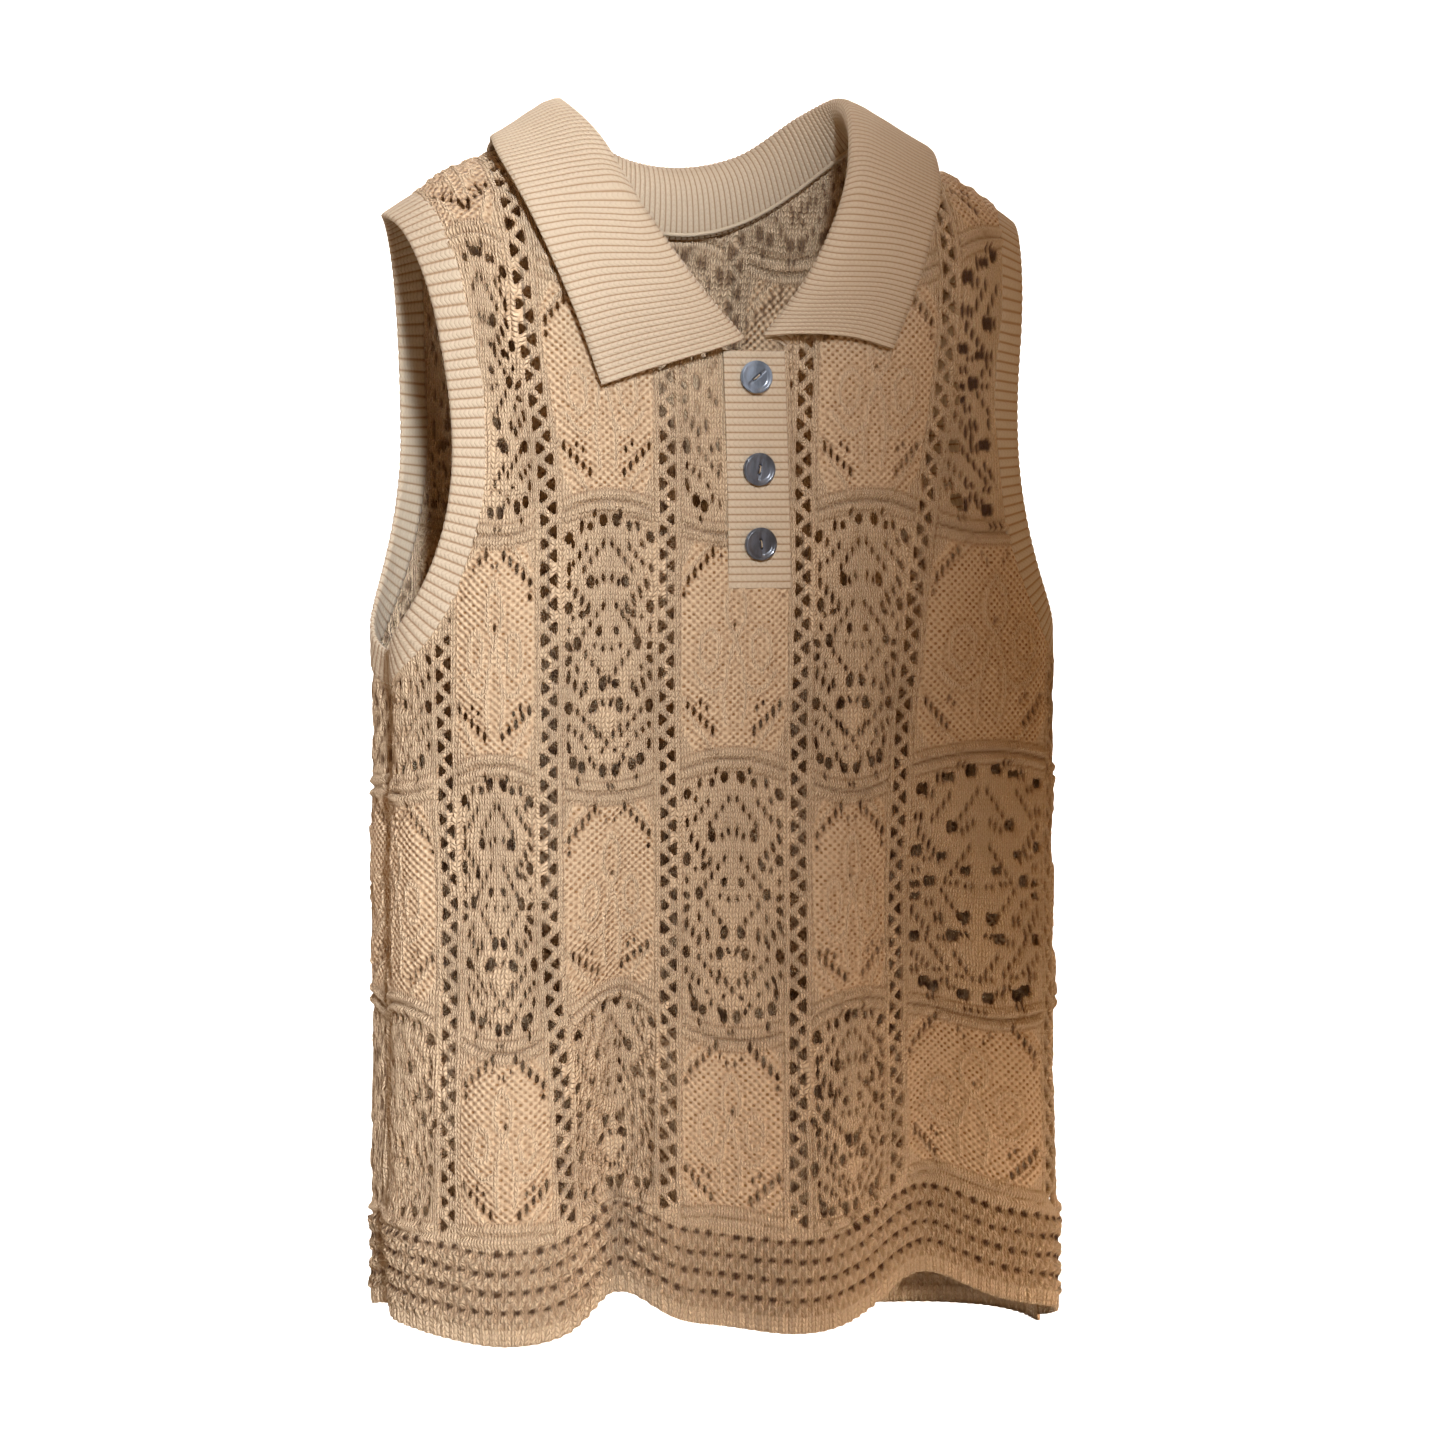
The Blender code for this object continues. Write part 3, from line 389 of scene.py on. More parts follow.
def quarter_section(depth):
    """A quarter of the chest's section: share of its length, x and y as shares of width and depth."""
    angle = np.linspace(0, math.pi / 2, 400)
    x = np.sin(angle) ** (2 / SECTION_POWER)
    y = np.cos(angle) ** (2 / SECTION_POWER)
    step = np.hypot(np.diff(x * CHEST_HALF_WIDTH), np.diff(y * depth))
    along = np.concatenate([[0], np.cumsum(step)])
    return along / along[-1], x, y, float(along[-1])


QUARTER = {FRONT: quarter_section(CHEST_FRONT_DEPTH), BACK: quarter_section(CHEST_BACK_DEPTH)}
PANEL_HALF = {side: QUARTER[side][3] for side in (FRONT, BACK)}
CLOTH_TAKEN = {side: SHOULDER_ROUND[side]["cloth"] - SHOULDER_ROUND[side]["drop"] for side in (FRONT, BACK)}
HEM_H = {side: -BODY_LENGTH - CLOTH_TAKEN[side] for side in (FRONT, BACK)}


def shoulder_height(u):
    """Height of the shoulder seam, also used flat."""
    return SHOULDER_RISE - SHOULDER_FALL * np.asarray(u) ** 2


def body_point(side, u, h):
    """The middle of the cloth at a flat point of the front or back."""
    u, h = np.broadcast_arrays(np.asarray(u, float), np.asarray(h, float))
    round_over = SHOULDER_ROUND[side]
    seam = shoulder_height(u)
    below = seam - h
    turn = math.pi / 2 * np.minimum(below / round_over["cloth"], 1.0)
    past = np.maximum(below - round_over["cloth"], 0.0)
    z = seam - round_over["drop"] * (1 - np.cos(turn)) - past
    knots = [row[0] for row in SECTIONS]
    width, front, back = (smooth_column(z, knots, [row[i] for row in SECTIONS]) for i in (1, 2, 3))
    share = np.abs(u) / PANEL_HALF[side]
    round_side = share > 1
    share = np.where(round_side, 2 - share, share)
    table, across, deep, _ = QUARTER[side]
    x_share, y_share = np.interp(share, table, across), np.interp(share, table, deep)
    facing = np.where(round_side, -side, side)
    depth = np.where(facing == FRONT, front, back)
    out = unit(
        np.stack([x_share ** (SECTION_POWER - 1) / width, y_share ** (SECTION_POWER - 1) / depth], -1)
    )
    rise = np.zeros_like(z)
    beside = np.exp(-(((np.abs(u) - PANEL_HALF[side]) / SIDE_VALLEY["half_width"]) ** 2))
    valley_z = (-BODY_LENGTH, UNDERARM_Z, UNDERARM_Z + SIDE_VALLEY["fade"])
    bulge = -beside * np.interp(z, valley_z, (SIDE_VALLEY["at_hem"], SIDE_VALLEY["at_underarm"], 0.0))
    for fold_side, centre, half_width, amount, top, lean in FOLDS:
        if fold_side == side:
            off = (u - centre - lean * (h - HEM_H[side])) / half_width
            bulge += amount * np.exp(-(off**2)) * smooth_step((top - h) / (top - HEM_H[side]))
    for dip_side, centre, half_width, amount, top in HEM_DIPS:
        if dip_side == side:
            off = (u - centre) / half_width
            rise += amount * np.exp(-(off**2)) * smooth_step((top - h) / (top - HEM_H[side]))
    hang = np.sin(turn)
    x = np.sign(u) * (np.abs(u) * (1 - hang) + (width * x_share + bulge * out[..., 0]) * hang)
    x += BODY_SWAY * smooth_step(below / SWAY_CLOTH)
    y_body = facing * (depth * y_share + bulge * out[..., 1])
    y = SHOULDER_SEAM_Y * (1 - hang) + y_body * hang
    return np.stack([x, y, z + rise], -1)


def cloth_frame(side, u, h):
    """Points of the cloth's middle and the way it faces there."""
    u, h = np.asarray(u, float), np.asarray(h, float)
    across = body_point(side, u + SLOPE_STEP, h) - body_point(side, u - SLOPE_STEP, h)
    up = body_point(side, u, h + SLOPE_STEP) - body_point(side, u, h - SLOPE_STEP)
    return body_point(side, u, h), unit(np.cross(across, up)) * -side


def cloth_point(side, u, h, lift):
    """A point lifted off the cloth's middle, outwards."""
    place, outward = cloth_frame(side, u, h)
    return place + outward * np.asarray(lift)[..., None]


def bezier(a, b, c, d, t):
    """Cubic curves' points: whole rows of curves at one t, or one curve at a column of them."""
    a, b, c, d = (np.asarray(p, float) for p in (a, b, c, d))
    return (1 - t) ** 3 * a + 3 * (1 - t) ** 2 * t * b + 3 * (1 - t) * t**2 * c + t**3 * d


def armhole_curve(side, count=60):
    """The right-hand armhole edge of a panel, flat, from the side seam up to the shoulder tip."""
    t = np.linspace(0, 1, count)[:, None]
    narrow = ARMHOLE_NARROWEST[side]
    underarm = (PANEL_HALF[side], UNDERARM_Z - CLOTH_TAKEN[side])
    waist = (narrow, ARMHOLE_WAIST_H)
    tip = (SHOULDER_TIP, float(shoulder_height(SHOULDER_TIP)))
    inward = (underarm[0] - ARMHOLE_UNDER_REACH, underarm[1])
    low = bezier(underarm, inward, (narrow, waist[1] - ARMHOLE_LOW_REACH), waist, t)
    below_tip = (tip[0], tip[1] - ARMHOLE_TIP_REACH)
    high = bezier(waist, (narrow, waist[1] + ARMHOLE_HIGH_REACH), below_tip, tip, t)
    return np.concatenate([low, high[1:]])


def neck_curve(side, count=60):
    """The right-hand half of a neckline, flat, from the shoulder to the middle."""
    if side == BACK:
        t = np.linspace(0, math.pi / 2, count)
        top = float(shoulder_height(NECK_HALF))
        return np.stack([NECK_HALF * np.cos(t), top - (NECK_DROP[BACK] + top) * np.sin(t)], 1)
    t = np.linspace(0, 1, count)[:, None]
    shoulder = (NECK_HALF, float(shoulder_height(NECK_HALF)))
    return bezier(shoulder, *FRONT_NECK_REACH, (PLACKET_HALF, -NECK_DROP[FRONT]), t)


def along_path(path):
    """Length along a path at each of its points."""
    return np.concatenate([[0], np.cumsum(np.linalg.norm(np.diff(path, axis=0), axis=1))])


def read_path(path, at):
    """Points of a path at the given lengths along it."""
    along = along_path(path)
    return np.stack([np.interp(at, along, path[:, k]) for k in range(path.shape[1])], 1)


def spaced(path, step):
    """The path again, with points about step apart."""
    path = np.asarray(path, float)
    length = along_path(path)[-1]
    return read_path(path, np.linspace(0, length, max(2, round(length / step) + 1)))


def inside(points, polygon):
    """Which points lie inside a polygon."""
    within = np.zeros(len(points), bool)
    for a, b in zip(polygon, np.roll(polygon, -1, axis=0)):
        if a[1] == b[1]:
            continue
        crosses = (a[1] > points[:, 1]) != (b[1] > points[:, 1])
        at = a[0] + (points[:, 1] - a[1]) * (b[0] - a[0]) / (b[1] - a[1])
        within ^= crosses & (points[:, 0] < at)
    return within


def path_distance(points, path):
    """How far points are from a line of straight pieces."""
    best = np.full(len(points), np.inf)
    for a, b in zip(path[:-1], path[1:]):
        d = b - a
        t = np.clip(((points - a) @ d) / max(d @ d, 1e-18), 0, 1)
        gap = points - a - t[:, None] * d
        best = np.minimum(best, gap[:, 0] ** 2 + gap[:, 1] ** 2)
    return np.sqrt(best)


def panel_edge(side):
    """The right-hand half of a panel's outline, flat, from the hem's middle to the neck's."""
    half, hem_h = PANEL_HALF[side], HEM_H[side]
    armhole, neck = spaced(armhole_curve(side), 0.004), spaced(neck_curve(side), 0.003)
    shoulder_u = np.linspace(SHOULDER_TIP, NECK_HALF, 9)[1:-1]
    shoulder = np.stack([shoulder_u, shoulder_height(shoulder_u)], 1)
    parts = [[(0.0, hem_h), (half, hem_h)], armhole, shoulder, neck]
    if side == FRONT:
        foot = -NECK_DROP[FRONT] - PLACKET_LENGTH
        parts.append([(PLACKET_HALF, foot), (0.0, foot)])
    return np.concatenate([np.asarray(part, float) for part in parts])


class Lace:
    """One panel's flat grid of fields: distance from its holes and edges, relief, and stitch places."""

    def __init__(self, side):
        self.side = side
        half = PANEL_HALF[side]
        step_u, step_h = GRID[side]
        count_u = 2 * round(half / step_u)
        self.u = np.linspace(-half, half, count_u + 1)
        count_h = round((SHOULDER_RISE - HEM_H[side]) / step_h)
        self.h = HEM_H[side] + np.arange(count_h + 1) * step_h
        self.U, self.H = np.meshgrid(self.u, self.h, indexing="ij")
        self.V = self.H - HEM_H[side]
        self.noise = np.random.default_rng(7 if side == FRONT else 11)
        self.cloth = self.edge_distance()
        self.holes = np.full(self.U.shape, FAR_OFF)
        self.pits = np.full(self.U.shape, FAR_OFF)
        self.lay_out()

    def edge_distance(self):
        """Distance from the panel's own edge, positive in the cloth."""
        edge = panel_edge(self.side)
        edge = np.concatenate([edge[:1] - (0.01, 0.0), edge, edge[-1:] - (0.01, 0.0)])
        middle = len(self.u) // 2
        flat = np.stack([self.U[middle:], self.H[middle:]], -1).reshape(-1, 2)
        far = path_distance(flat, edge)
        far = np.where(inside(flat, edge), far, -far).reshape(self.U[middle:].shape)
        return np.concatenate([far[:0:-1], far])

    def lay_out(self):
        """Which block each point is in, and where in it."""
        rows = LADDER_LINES[self.side]
        heights = [row[0] for row in rows]
        half = PANEL_HALF[self.side]
        self.ladders = [smooth_column(self.h, heights, [row[k] for row in rows]) for k in range(1, 7)]
        self.borders = [np.full(len(self.h), -half), *self.ladders, np.full(len(self.h), half)]
        self.from_ladder = np.full(self.U.shape, 1.0)
        for line in self.ladders:
            off = self.U - line[None, :]
            self.from_ladder = np.where(np.abs(off) < np.abs(self.from_ladder), off, self.from_ladder)
        self.column = sum((self.U >= line[None, :]).astype(int) for line in self.ladders)
        edges = np.array(self.borders)
        where_h = np.broadcast_to(np.arange(len(self.h)), self.U.shape)
        low, high = edges[self.column, where_h], edges[self.column + 1, where_h]
        low = low + np.where(self.column == 0, SIDE_INSET, LADDER_HALF)
        high = high - np.where(self.column == 6, SIDE_INSET, LADDER_HALF)
        self.X = (2 * self.U - low - high) / (high - low)
        self.row = np.zeros(self.U.shape, int)
        lines = [self.border(k, self.column, self.X) for k in range(len(BLOCK_EDGES))]
        for line in lines[1:-1]:
            self.row += self.V >= line
        lines = np.array(lines)
        lower = np.take_along_axis(lines, self.row[None], 0)[0]
        upper = np.take_along_axis(lines, self.row[None] + 1, 0)[0]
        self.Y = 2 * (self.V - lower) / (upper - lower) - 1
        self.from_border = np.minimum(np.abs(self.V - lower), np.abs(self.V - upper))
        self.from_border[self.row == 0] = np.abs(self.V - upper)[self.row == 0]
        self.open = (self.row > 0) & ((self.row - 1 + self.column) % 2 == 0)
        self.closed = (self.row > 0) & ~self.open

    def border(self, number, column, x):
        """Height above the hem of the line between two rows of blocks."""
        base = BLOCK_EDGES[number]
        if number == 0:
            return np.full(np.shape(x), 0.0)
        way = np.where((number - 1 + column) % 2 == 0, -1.0, 1.0)
        bow = 1 - np.clip(x, -1, 1) ** 2
        if number == 1:
            return base + way * (0.0006 + 0.0024 * bow)
        return base + way * (BORDER_SHIFT + BORDER_BOW * bow)

    def block_place(self, column, row, x, y):
        """The flat place of a point given by its shares of a block's half width and half height."""
        lower, upper = self.border(row, column, x), self.border(row + 1, column, x)
        v = lower + (upper - lower) * (y + 1) / 2
        h = HEM_H[self.side] + v
        low, high = (np.interp(h, self.h, self.borders[column + k]) for k in (0, 1))
        low = low + (SIDE_INSET if column == 0 else LADDER_HALF)
        high = high - (SIDE_INSET if column == 6 else LADDER_HALF)
        return np.array([(low + high) / 2 + x * (high - low) / 2, h])

    def window(self, centre, reach):
        i = np.searchsorted(self.u, (centre[0] - reach, centre[0] + reach))
        j = np.searchsorted(self.h, (centre[1] - reach, centre[1] + reach))
        return slice(max(i[0] - 1, 0), i[1] + 1), slice(max(j[0] - 1, 0), j[1] + 1)

    def mark(self, where, far, through=True):
        """Keeps a hole's own distance field: at the back, or where it isn't cut through, an uncut pit painted
        dark, painted shade in place of an open hole.
        """
        fields = self.holes if through and self.side == FRONT else self.pits
        fields[where] = np.minimum(fields[where], far)

    def cut_oval(self, centre, half_wide, half_tall, slant=0.0, through=True):
        """An oval hole; slant is in radians from upright, positive to the right at its top."""
        where = self.window(centre, half_tall + half_wide + FAR_OFF)
        x, y = self.U[where] - centre[0], self.H[where] - centre[1]
        c, s = math.cos(slant), math.sin(slant)
        across, along = x * c - y * s, x * s + y * c
        far = (np.hypot(across / half_wide, along / half_tall) - 1) * min(half_wide, half_tall)
        self.mark(where, far, through)

    def cut_wedge(self, centre, half_wide, half_tall, point_to):
        """A three-cornered hole, its point to the side given, with rounded corners."""
        where = self.window(centre, half_tall + half_wide + FAR_OFF)
        x, y = (self.U[where] - centre[0]) * point_to, self.H[where] - centre[1]
        slope = math.hypot(half_tall, 2 * half_wide)
        sides = [-x - half_wide]
        for up in (1, -1):
            sides.append(((x - half_wide) * half_tall + up * y * 2 * half_wide) / slope)
        sharp = 3.0 / WEDGE_ROUND
        self.mark(where, np.log(sum(np.exp(side * sharp) for side in sides)) / sharp)

    def jitter(self, size):
        return self.noise.normal(0, size)

    def cut_ladders(self):
        """Two columns of wedge holes beside each zigzag."""
        for number, line in enumerate(self.ladders):
            steps = int((-HEM_H[self.side] - HEM_BAND + LADDER_TOP) / (LADDER_PITCH / 2))
            for i in range(steps):
                turn = RIGHT if (i + number) % 2 else LEFT
                h = HEM_H[self.side] + HEM_BAND + LADDER_START + LADDER_PITCH / 2 * i
                middle = float(np.interp(h, self.h, line))
                centre = (middle + turn * LADDER_HOLE_OFFSET, h + self.jitter(0.0002))
                grow = 1 + self.jitter(0.06)
                wide, tall = LADDER_HOLE[0] * grow, LADDER_HOLE[1] * grow
                self.cut_wedge(centre, wide, tall, -turn)

    def blocks(self):
        """Every block's column, row and half sizes."""
        for row in range(1, len(BLOCK_EDGES) - 1):
            for column in range(7):
                middle = self.block_place(column, row, 0.0, 0.0)
                right, top = self.block_place(column, row, 1.0, 0.0), self.block_place(column, row, 0.0, 1.0)
                yield column, row, right[0] - middle[0], top[1] - middle[1]

    def cut_open_block(self, column, row, half_wide):
        """The chart's runs of holes, the same on both sides of the block's middle."""
        step_u = self.u[1] - self.u[0]
        columns = 3 if half_wide > WIDE_BLOCK or self.side == BACK else 2
        for x, y, count, way, up, size, lean in OPEN_CHART:
            wide, tall = HOLE_SIZES[size]
            wide *= WIDE_GROW if columns == 3 else 1
            if half_wide > BROAD_BLOCK:
                count, way = count + 1, way or (1 if x < 0.6 else -1)
            for hand in (1, -1):
                first = self.block_place(column, row, x * hand, y)
                line = 2 * round(first[0] / step_u / 2)
                for k in range(count):
                    centre = ((line + hand * way * k * columns) * step_u, first[1] + k * up)
                    grow = float(np.clip(1 + self.jitter(0.12), 0.75, 1.2))
                    slant = hand * lean + KNIT_BIAS + self.jitter(0.03)
                    self.cut_oval(centre, wide, tall * grow, slant)

    def cut_closed_block(self, column, row):
        """Rows of narrow upright slots across the corners of a closed block, on the grid's own lines."""
        step_u = self.u[1] - self.u[0]
        for x, y, count, columns, up, wide, tall in CLOSED_SLOTS:
            for hand in (1, -1) if x > 0.01 else (1,):
                first = self.block_place(column, row, x * hand, y)
                line = 2 * round(first[0] / step_u / 2)
                for k in range(count):
                    centre = ((line - hand * k * columns) * step_u, first[1] + k * up)
                    grow = float(np.clip(1 + self.jitter(0.12), 0.75, 1.25))
                    self.cut_oval(centre, wide, tall * grow)

    def cut_eyelets(self):
        """Rows of flat eyelets in the hem band, each row half a step on from the one below."""
        half = PANEL_HALF[self.side]
        for number, up in enumerate(EYELET_ROWS):
            count = int(2 * half / EYELET_PITCH)
            for i in range(count + 1):
                u = -half + (i + 0.5 * (number % 2)) * EYELET_PITCH + self.jitter(0.0002)
                grow = float(np.clip(1 + self.jitter(0.12), 0.7, 1.3))
                centre = (u, HEM_H[self.side] + up + self.jitter(0.0002))
                self.cut_oval(centre, EYELET[0] * grow, EYELET[1] * grow, through=False)

    def cut(self):
        self.cut_ladders()
        for column, row, half_wide, _ in self.blocks():
            if (row - 1 + column) % 2 == 0:
                self.cut_open_block(column, row, half_wide)
            else:
                self.cut_closed_block(column, row)
        self.cut_eyelets()
        if self.side == FRONT:
            bare = (self.U > UNBACKED[0]) & (self.H > UNBACKED[1])
            self.pits = np.where(bare, np.minimum(self.pits, self.holes), self.pits)
            self.holes = np.where(bare, FAR_OFF, self.holes)
        margin = np.minimum(EDGE_MARGIN - self.cloth, FAR_OFF)
        self.holes = np.maximum(self.holes, margin)
        self.pits = np.maximum(self.pits, margin)

    def cord_distance(self):
        """Distance from the raised lines of the closed blocks."""
        far = np.full(self.U.shape, 0.01)
        for column, row, half_wide, half_tall in self.blocks():
            mine = (self.column == column) & (self.row == row)
            if not mine.any() or (row - 1 + column) % 2 == 0:
                continue
            size = np.array([half_wide, half_tall])
            places = np.stack([np.abs(self.X[mine]), self.Y[mine]], 1) * size
            best = np.full(len(places), 0.01)
            for line in CLOSED_CORDS:
                best = np.minimum(best, path_distance(places, spaced(np.array(line) * size, 0.002)))
            far[mine] = best
        return far

    def relief(self):
        """How far the cloth stands out from its own middle, in metres, before its holes round it."""
        beside = np.abs(self.from_ladder)
        lift = self.ladder_relief(beside)
        between = smooth_step((beside - LADDER_HALF + 0.001) / 0.002)
        near = self.from_border
        welts = hump(near - WELT_OFF, WELT_HALF) - 0.6 * hump(near, WELT_GROOVE)
        lift += WELT_RISE * welts * between
        puff = between * smooth_step(near / 0.012) * smooth_step((beside - LADDER_HALF) / 0.010)
        lift += PUFF_RISE * puff * self.closed
        cords = self.cord_distance()
        lift += CORD_RISE * hump(cords, CORD_HALF) * self.closed * between
        # where painted shade is drawn, in a line beside each cord
        self.beside_cords = hump(cords - CORD_SHADE_OFF, 0.0011) * self.closed * between
        corner = MOSS_REACH - np.abs(self.X) - np.abs(self.Y) * 0.9
        self.moss = self.closed * between * smooth_step(corner / 0.1)
        self.moss = self.moss * (1 - hump(cords, 0.0018)) * smooth_step((near - 0.005) / 0.002)
        lift += self.hem_relief()
        for size, amount in UNEVENNESS:
            lift += amount * self.soft_noise(size)
        return lift

    def ladder_relief(self, beside):
        """A cord and a dotted gutter on each side of a ladder, and the strand that zigzags up it."""
        dots = 0.5 + 0.5 * np.cos(2 * math.pi * self.V / DOT_PITCH)
        lift = 0.0006 * hump(beside - LADDER_CORD, 0.0012)
        lift -= 0.0007 * hump(beside - LADDER_GUTTER, 0.0010) * (0.35 + 0.65 * dots)
        reach = LADDER_HOLE_OFFSET * 2.0 * (2 / math.pi)
        zigzag = reach * np.arcsin(np.sin(2 * math.pi * self.V / LADDER_PITCH))
        lift += 0.0003 * hump(self.from_ladder - zigzag, 0.0012) * (beside < ZIGZAG_LIMIT)
        return lift * (self.V > BLOCK_EDGES[1] - 0.002)

    def hem_relief(self):
        """The hem band's crossing strands and its ribbed edge."""
        v = self.V
        band = smooth_step((v - HEM_EDGE) / 0.001) * smooth_step((EYELET_ROWS[-1] + 0.001 - v) / 0.001)
        step = EYELET_ROWS[1] - EYELET_ROWS[0]
        number = np.floor((v - EYELET_ROWS[0]) / step)
        phase = (v - EYELET_ROWS[0]) / step - number
        across = (self.U + PANEL_HALF[self.side]) / EYELET_PITCH - 0.5 * (number % 2)
        crossing = np.zeros(v.shape)
        for way in (1, -1):
            off = (across + way * phase * 0.5 + 0.5) % 1 - 0.5
            crossing = np.maximum(crossing, hump(off, STRAND_HALF))
        # where painted shade is drawn, between the crossing strands
        self.between_strands = (1 - crossing) * band
        edge = smooth_step((HEM_EDGE + 0.0005 - v) / 0.001)
        self.hem = np.maximum(edge, band)
        lift = STRAND_RISE * crossing * band
        lift += HEM_RIB_RISE * np.cos(2 * math.pi * self.U / HEM_RIB_PITCH) * edge
        return lift + 0.0006 * hump(v - HEM_EDGE - 0.0012, 0.0012)

    def soft_noise(self, size):
        """Smooth random relief with features of the given size."""
        count = [max(4, int((line[-1] - line[0]) / size) + 4) for line in (self.u, self.h)]
        coarse = self.noise.normal(0, 1, count)
        i = np.linspace(0, count[0] - 1.001, len(self.u))
        j = np.linspace(0, count[1] - 1.001, len(self.h))
        fi, fj = smooth_step(i % 1)[:, None], smooth_step(j % 1)[None, :]
        i, j = i.astype(int)[:, None], j.astype(int)[None, :]
        low = coarse[i, j] * (1 - fi) + coarse[i + 1, j] * fi
        high = coarse[i, j + 1] * (1 - fi) + coarse[i + 1, j + 1] * fi
        return low * (1 - fj) + high * fj

    def stitches(self):
        """Stitch places across and up, pulled aside a little by the lace."""
        sway = np.sin(math.pi * self.Y) * np.sign(self.X) * (1 - np.abs(self.X)) * np.abs(self.X) * 4
        across = self.U / STITCH_U + 0.55 * sway * self.open
        bow = np.clip(1 - self.X**2, 0, 1) * (self.row > 1)
        up = self.V / STITCH_H - bow * 1.2 * np.where(self.open, self.Y, -self.Y)
        return across, up


# The cells of the grid are cut at the edge of the cloth. Corners are numbered round a cell from its
# lowest u and h, and cut k lies between corners k and k + 1.
CELL_CASES = {
    1: ((0, "c0", "c3"),),
    2: ((1, "c1", "c0"),),
    3: ((0, 1, "c1", "c3"),),
    4: ((2, "c2", "c1"),),
    5: ((0, "c0", "c3"), (2, "c2", "c1")),
    6: ((1, 2, "c2", "c0"),),
    7: ((0, 1, 2, "c2", "c3"),),
    8: ((3, "c3", "c2"),),
    9: ((0, "c0", "c2", 3),),
    10: ((1, "c1", "c0"), (3, "c3", "c2")),
    11: ((0, 1, "c1", "c2", 3),),
    12: ((2, 3, "c3", "c1"),),
    13: ((0, "c0", "c1", 2, 3),),
    14: ((1, 2, 3, "c3", "c0"),),
    15: ((0, 1, 2, 3),),
}


def cut_grid(field):
    """Faces of a grid where its field is positive. Points are grid points first, then cut points."""
    nu, nh = field.shape
    solid = field > 0
    number = np.arange(nu * nh).reshape(nu, nh)
    across = solid[:-1] != solid[1:]
    upward = solid[:, :-1] != solid[:, 1:]
    across_id = np.full(across.shape, -1)
    across_id[across] = nu * nh + np.arange(across.sum())
    upward_id = np.full(upward.shape, -1)
    upward_id[upward] = nu * nh + across.sum() + np.arange(upward.sum())
    ends = [np.stack([number[:-1][across], number[1:][across]], 1)]
    ends.append(np.stack([number[:, :-1][upward], number[:, 1:][upward]], 1))
    ends = np.concatenate(ends)
    values = field.ravel()[ends]
    share = np.clip(values[:, 0] / (values[:, 0] - values[:, 1]), 0.06, 0.94)
    corners = [number[:-1, :-1], number[1:, :-1], number[1:, 1:], number[:-1, 1:]]
    cuts = [across_id[:, :-1], upward_id[1:], across_id[:, 1:], upward_id[:-1]]
    code = sum(solid.ravel()[corner] << k for k, corner in enumerate(corners))
    faces = []
    for case, polygons in CELL_CASES.items():
        where = code == case
        if not where.any():
            continue
        for polygon in polygons:
            picked = [cuts[int(p[1])][where] if isinstance(p, str) else corners[p][where] for p in polygon]
            faces.append(np.stack(picked, 1))
    return faces, ends, share


def fast_mesh(name, points, faces):
    """A mesh from arrays; faces is a list of arrays, each of faces with one number of corners."""
    used = np.zeros(len(points), bool)
    for block in faces:
        used[block.ravel()] = True
    renumber = np.cumsum(used) - 1
    loops = np.concatenate([renumber[block].ravel() for block in faces])
    totals = np.concatenate([np.full(len(block), block.shape[1]) for block in faces])
    mesh = bpy.data.meshes.new(name)
    kept = np.asarray(points)[used]
    mesh.vertices.add(len(kept))
    mesh.vertices.foreach_set("co", kept.astype(np.float32).ravel())
    mesh.loops.add(len(loops))
    mesh.loops.foreach_set("vertex_index", loops.astype(np.int32))
    mesh.polygons.add(len(totals))
    mesh.polygons.foreach_set("loop_start", np.concatenate([[0], np.cumsum(totals)[:-1]]).astype(np.int32))
    mesh.update(calc_edges=True)
    mesh.validate()
    mesh.shade_smooth()
    return mesh, used


def add_values(mesh, used, stitch, **extra):
    """Stores stitch places as a UV map, and named values at each point."""
    stitch = np.asarray(stitch)[used]
    corner = np.zeros(len(mesh.loops), np.int32)
    mesh.loops.foreach_get("vertex_index", corner)
    layer = mesh.uv_layers.new(name="stitch")
    layer.data.foreach_set("uv", stitch[corner].astype(np.float32).ravel())
    for name, values in extra.items():
        attribute = mesh.attributes.new(name, "FLOAT", "POINT")
        attribute.data.foreach_set("value", np.asarray(values)[used].astype(np.float32))


def place(mesh, name, material, node, slot):
    """Puts a finished mesh in the scene in place of a solid."""
    made = bpy.data.objects.new(name, mesh)
    mesh.materials.append(material)
    bpy.context.scene.collection.objects.link(made)
    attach(made, "root")
    if node:
        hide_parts(node)
    return made


def finished_relief(lace, near_hole, deep):
    """The panel's relief, rounded at its holes and edges, with sunk side seams and hollows."""
    lift = lace.relief()
    lift -= HOLE_SINK * (1 - smooth_step(near_hole / HOLE_ROUND))
    lift += HOLE_LIP * smooth_step((near_hole - HOLE_LIP_FROM) / HOLE_LIP_REACH)
    lift -= EDGE_SINK * (1 - smooth_step((lace.cloth - 0.0002) / EDGE_ROUND))
    seam = np.minimum(PANEL_HALF[lace.side] - np.abs(lace.U), 0.01)
    lift -= SEAM_SINK * hump(seam, SEAM_HALF)
    lift += SEAM_RIDGE * hump(seam - SEAM_RIDGE_OFF, SEAM_HALF)
    return lift - PIT_DEPTH * deep


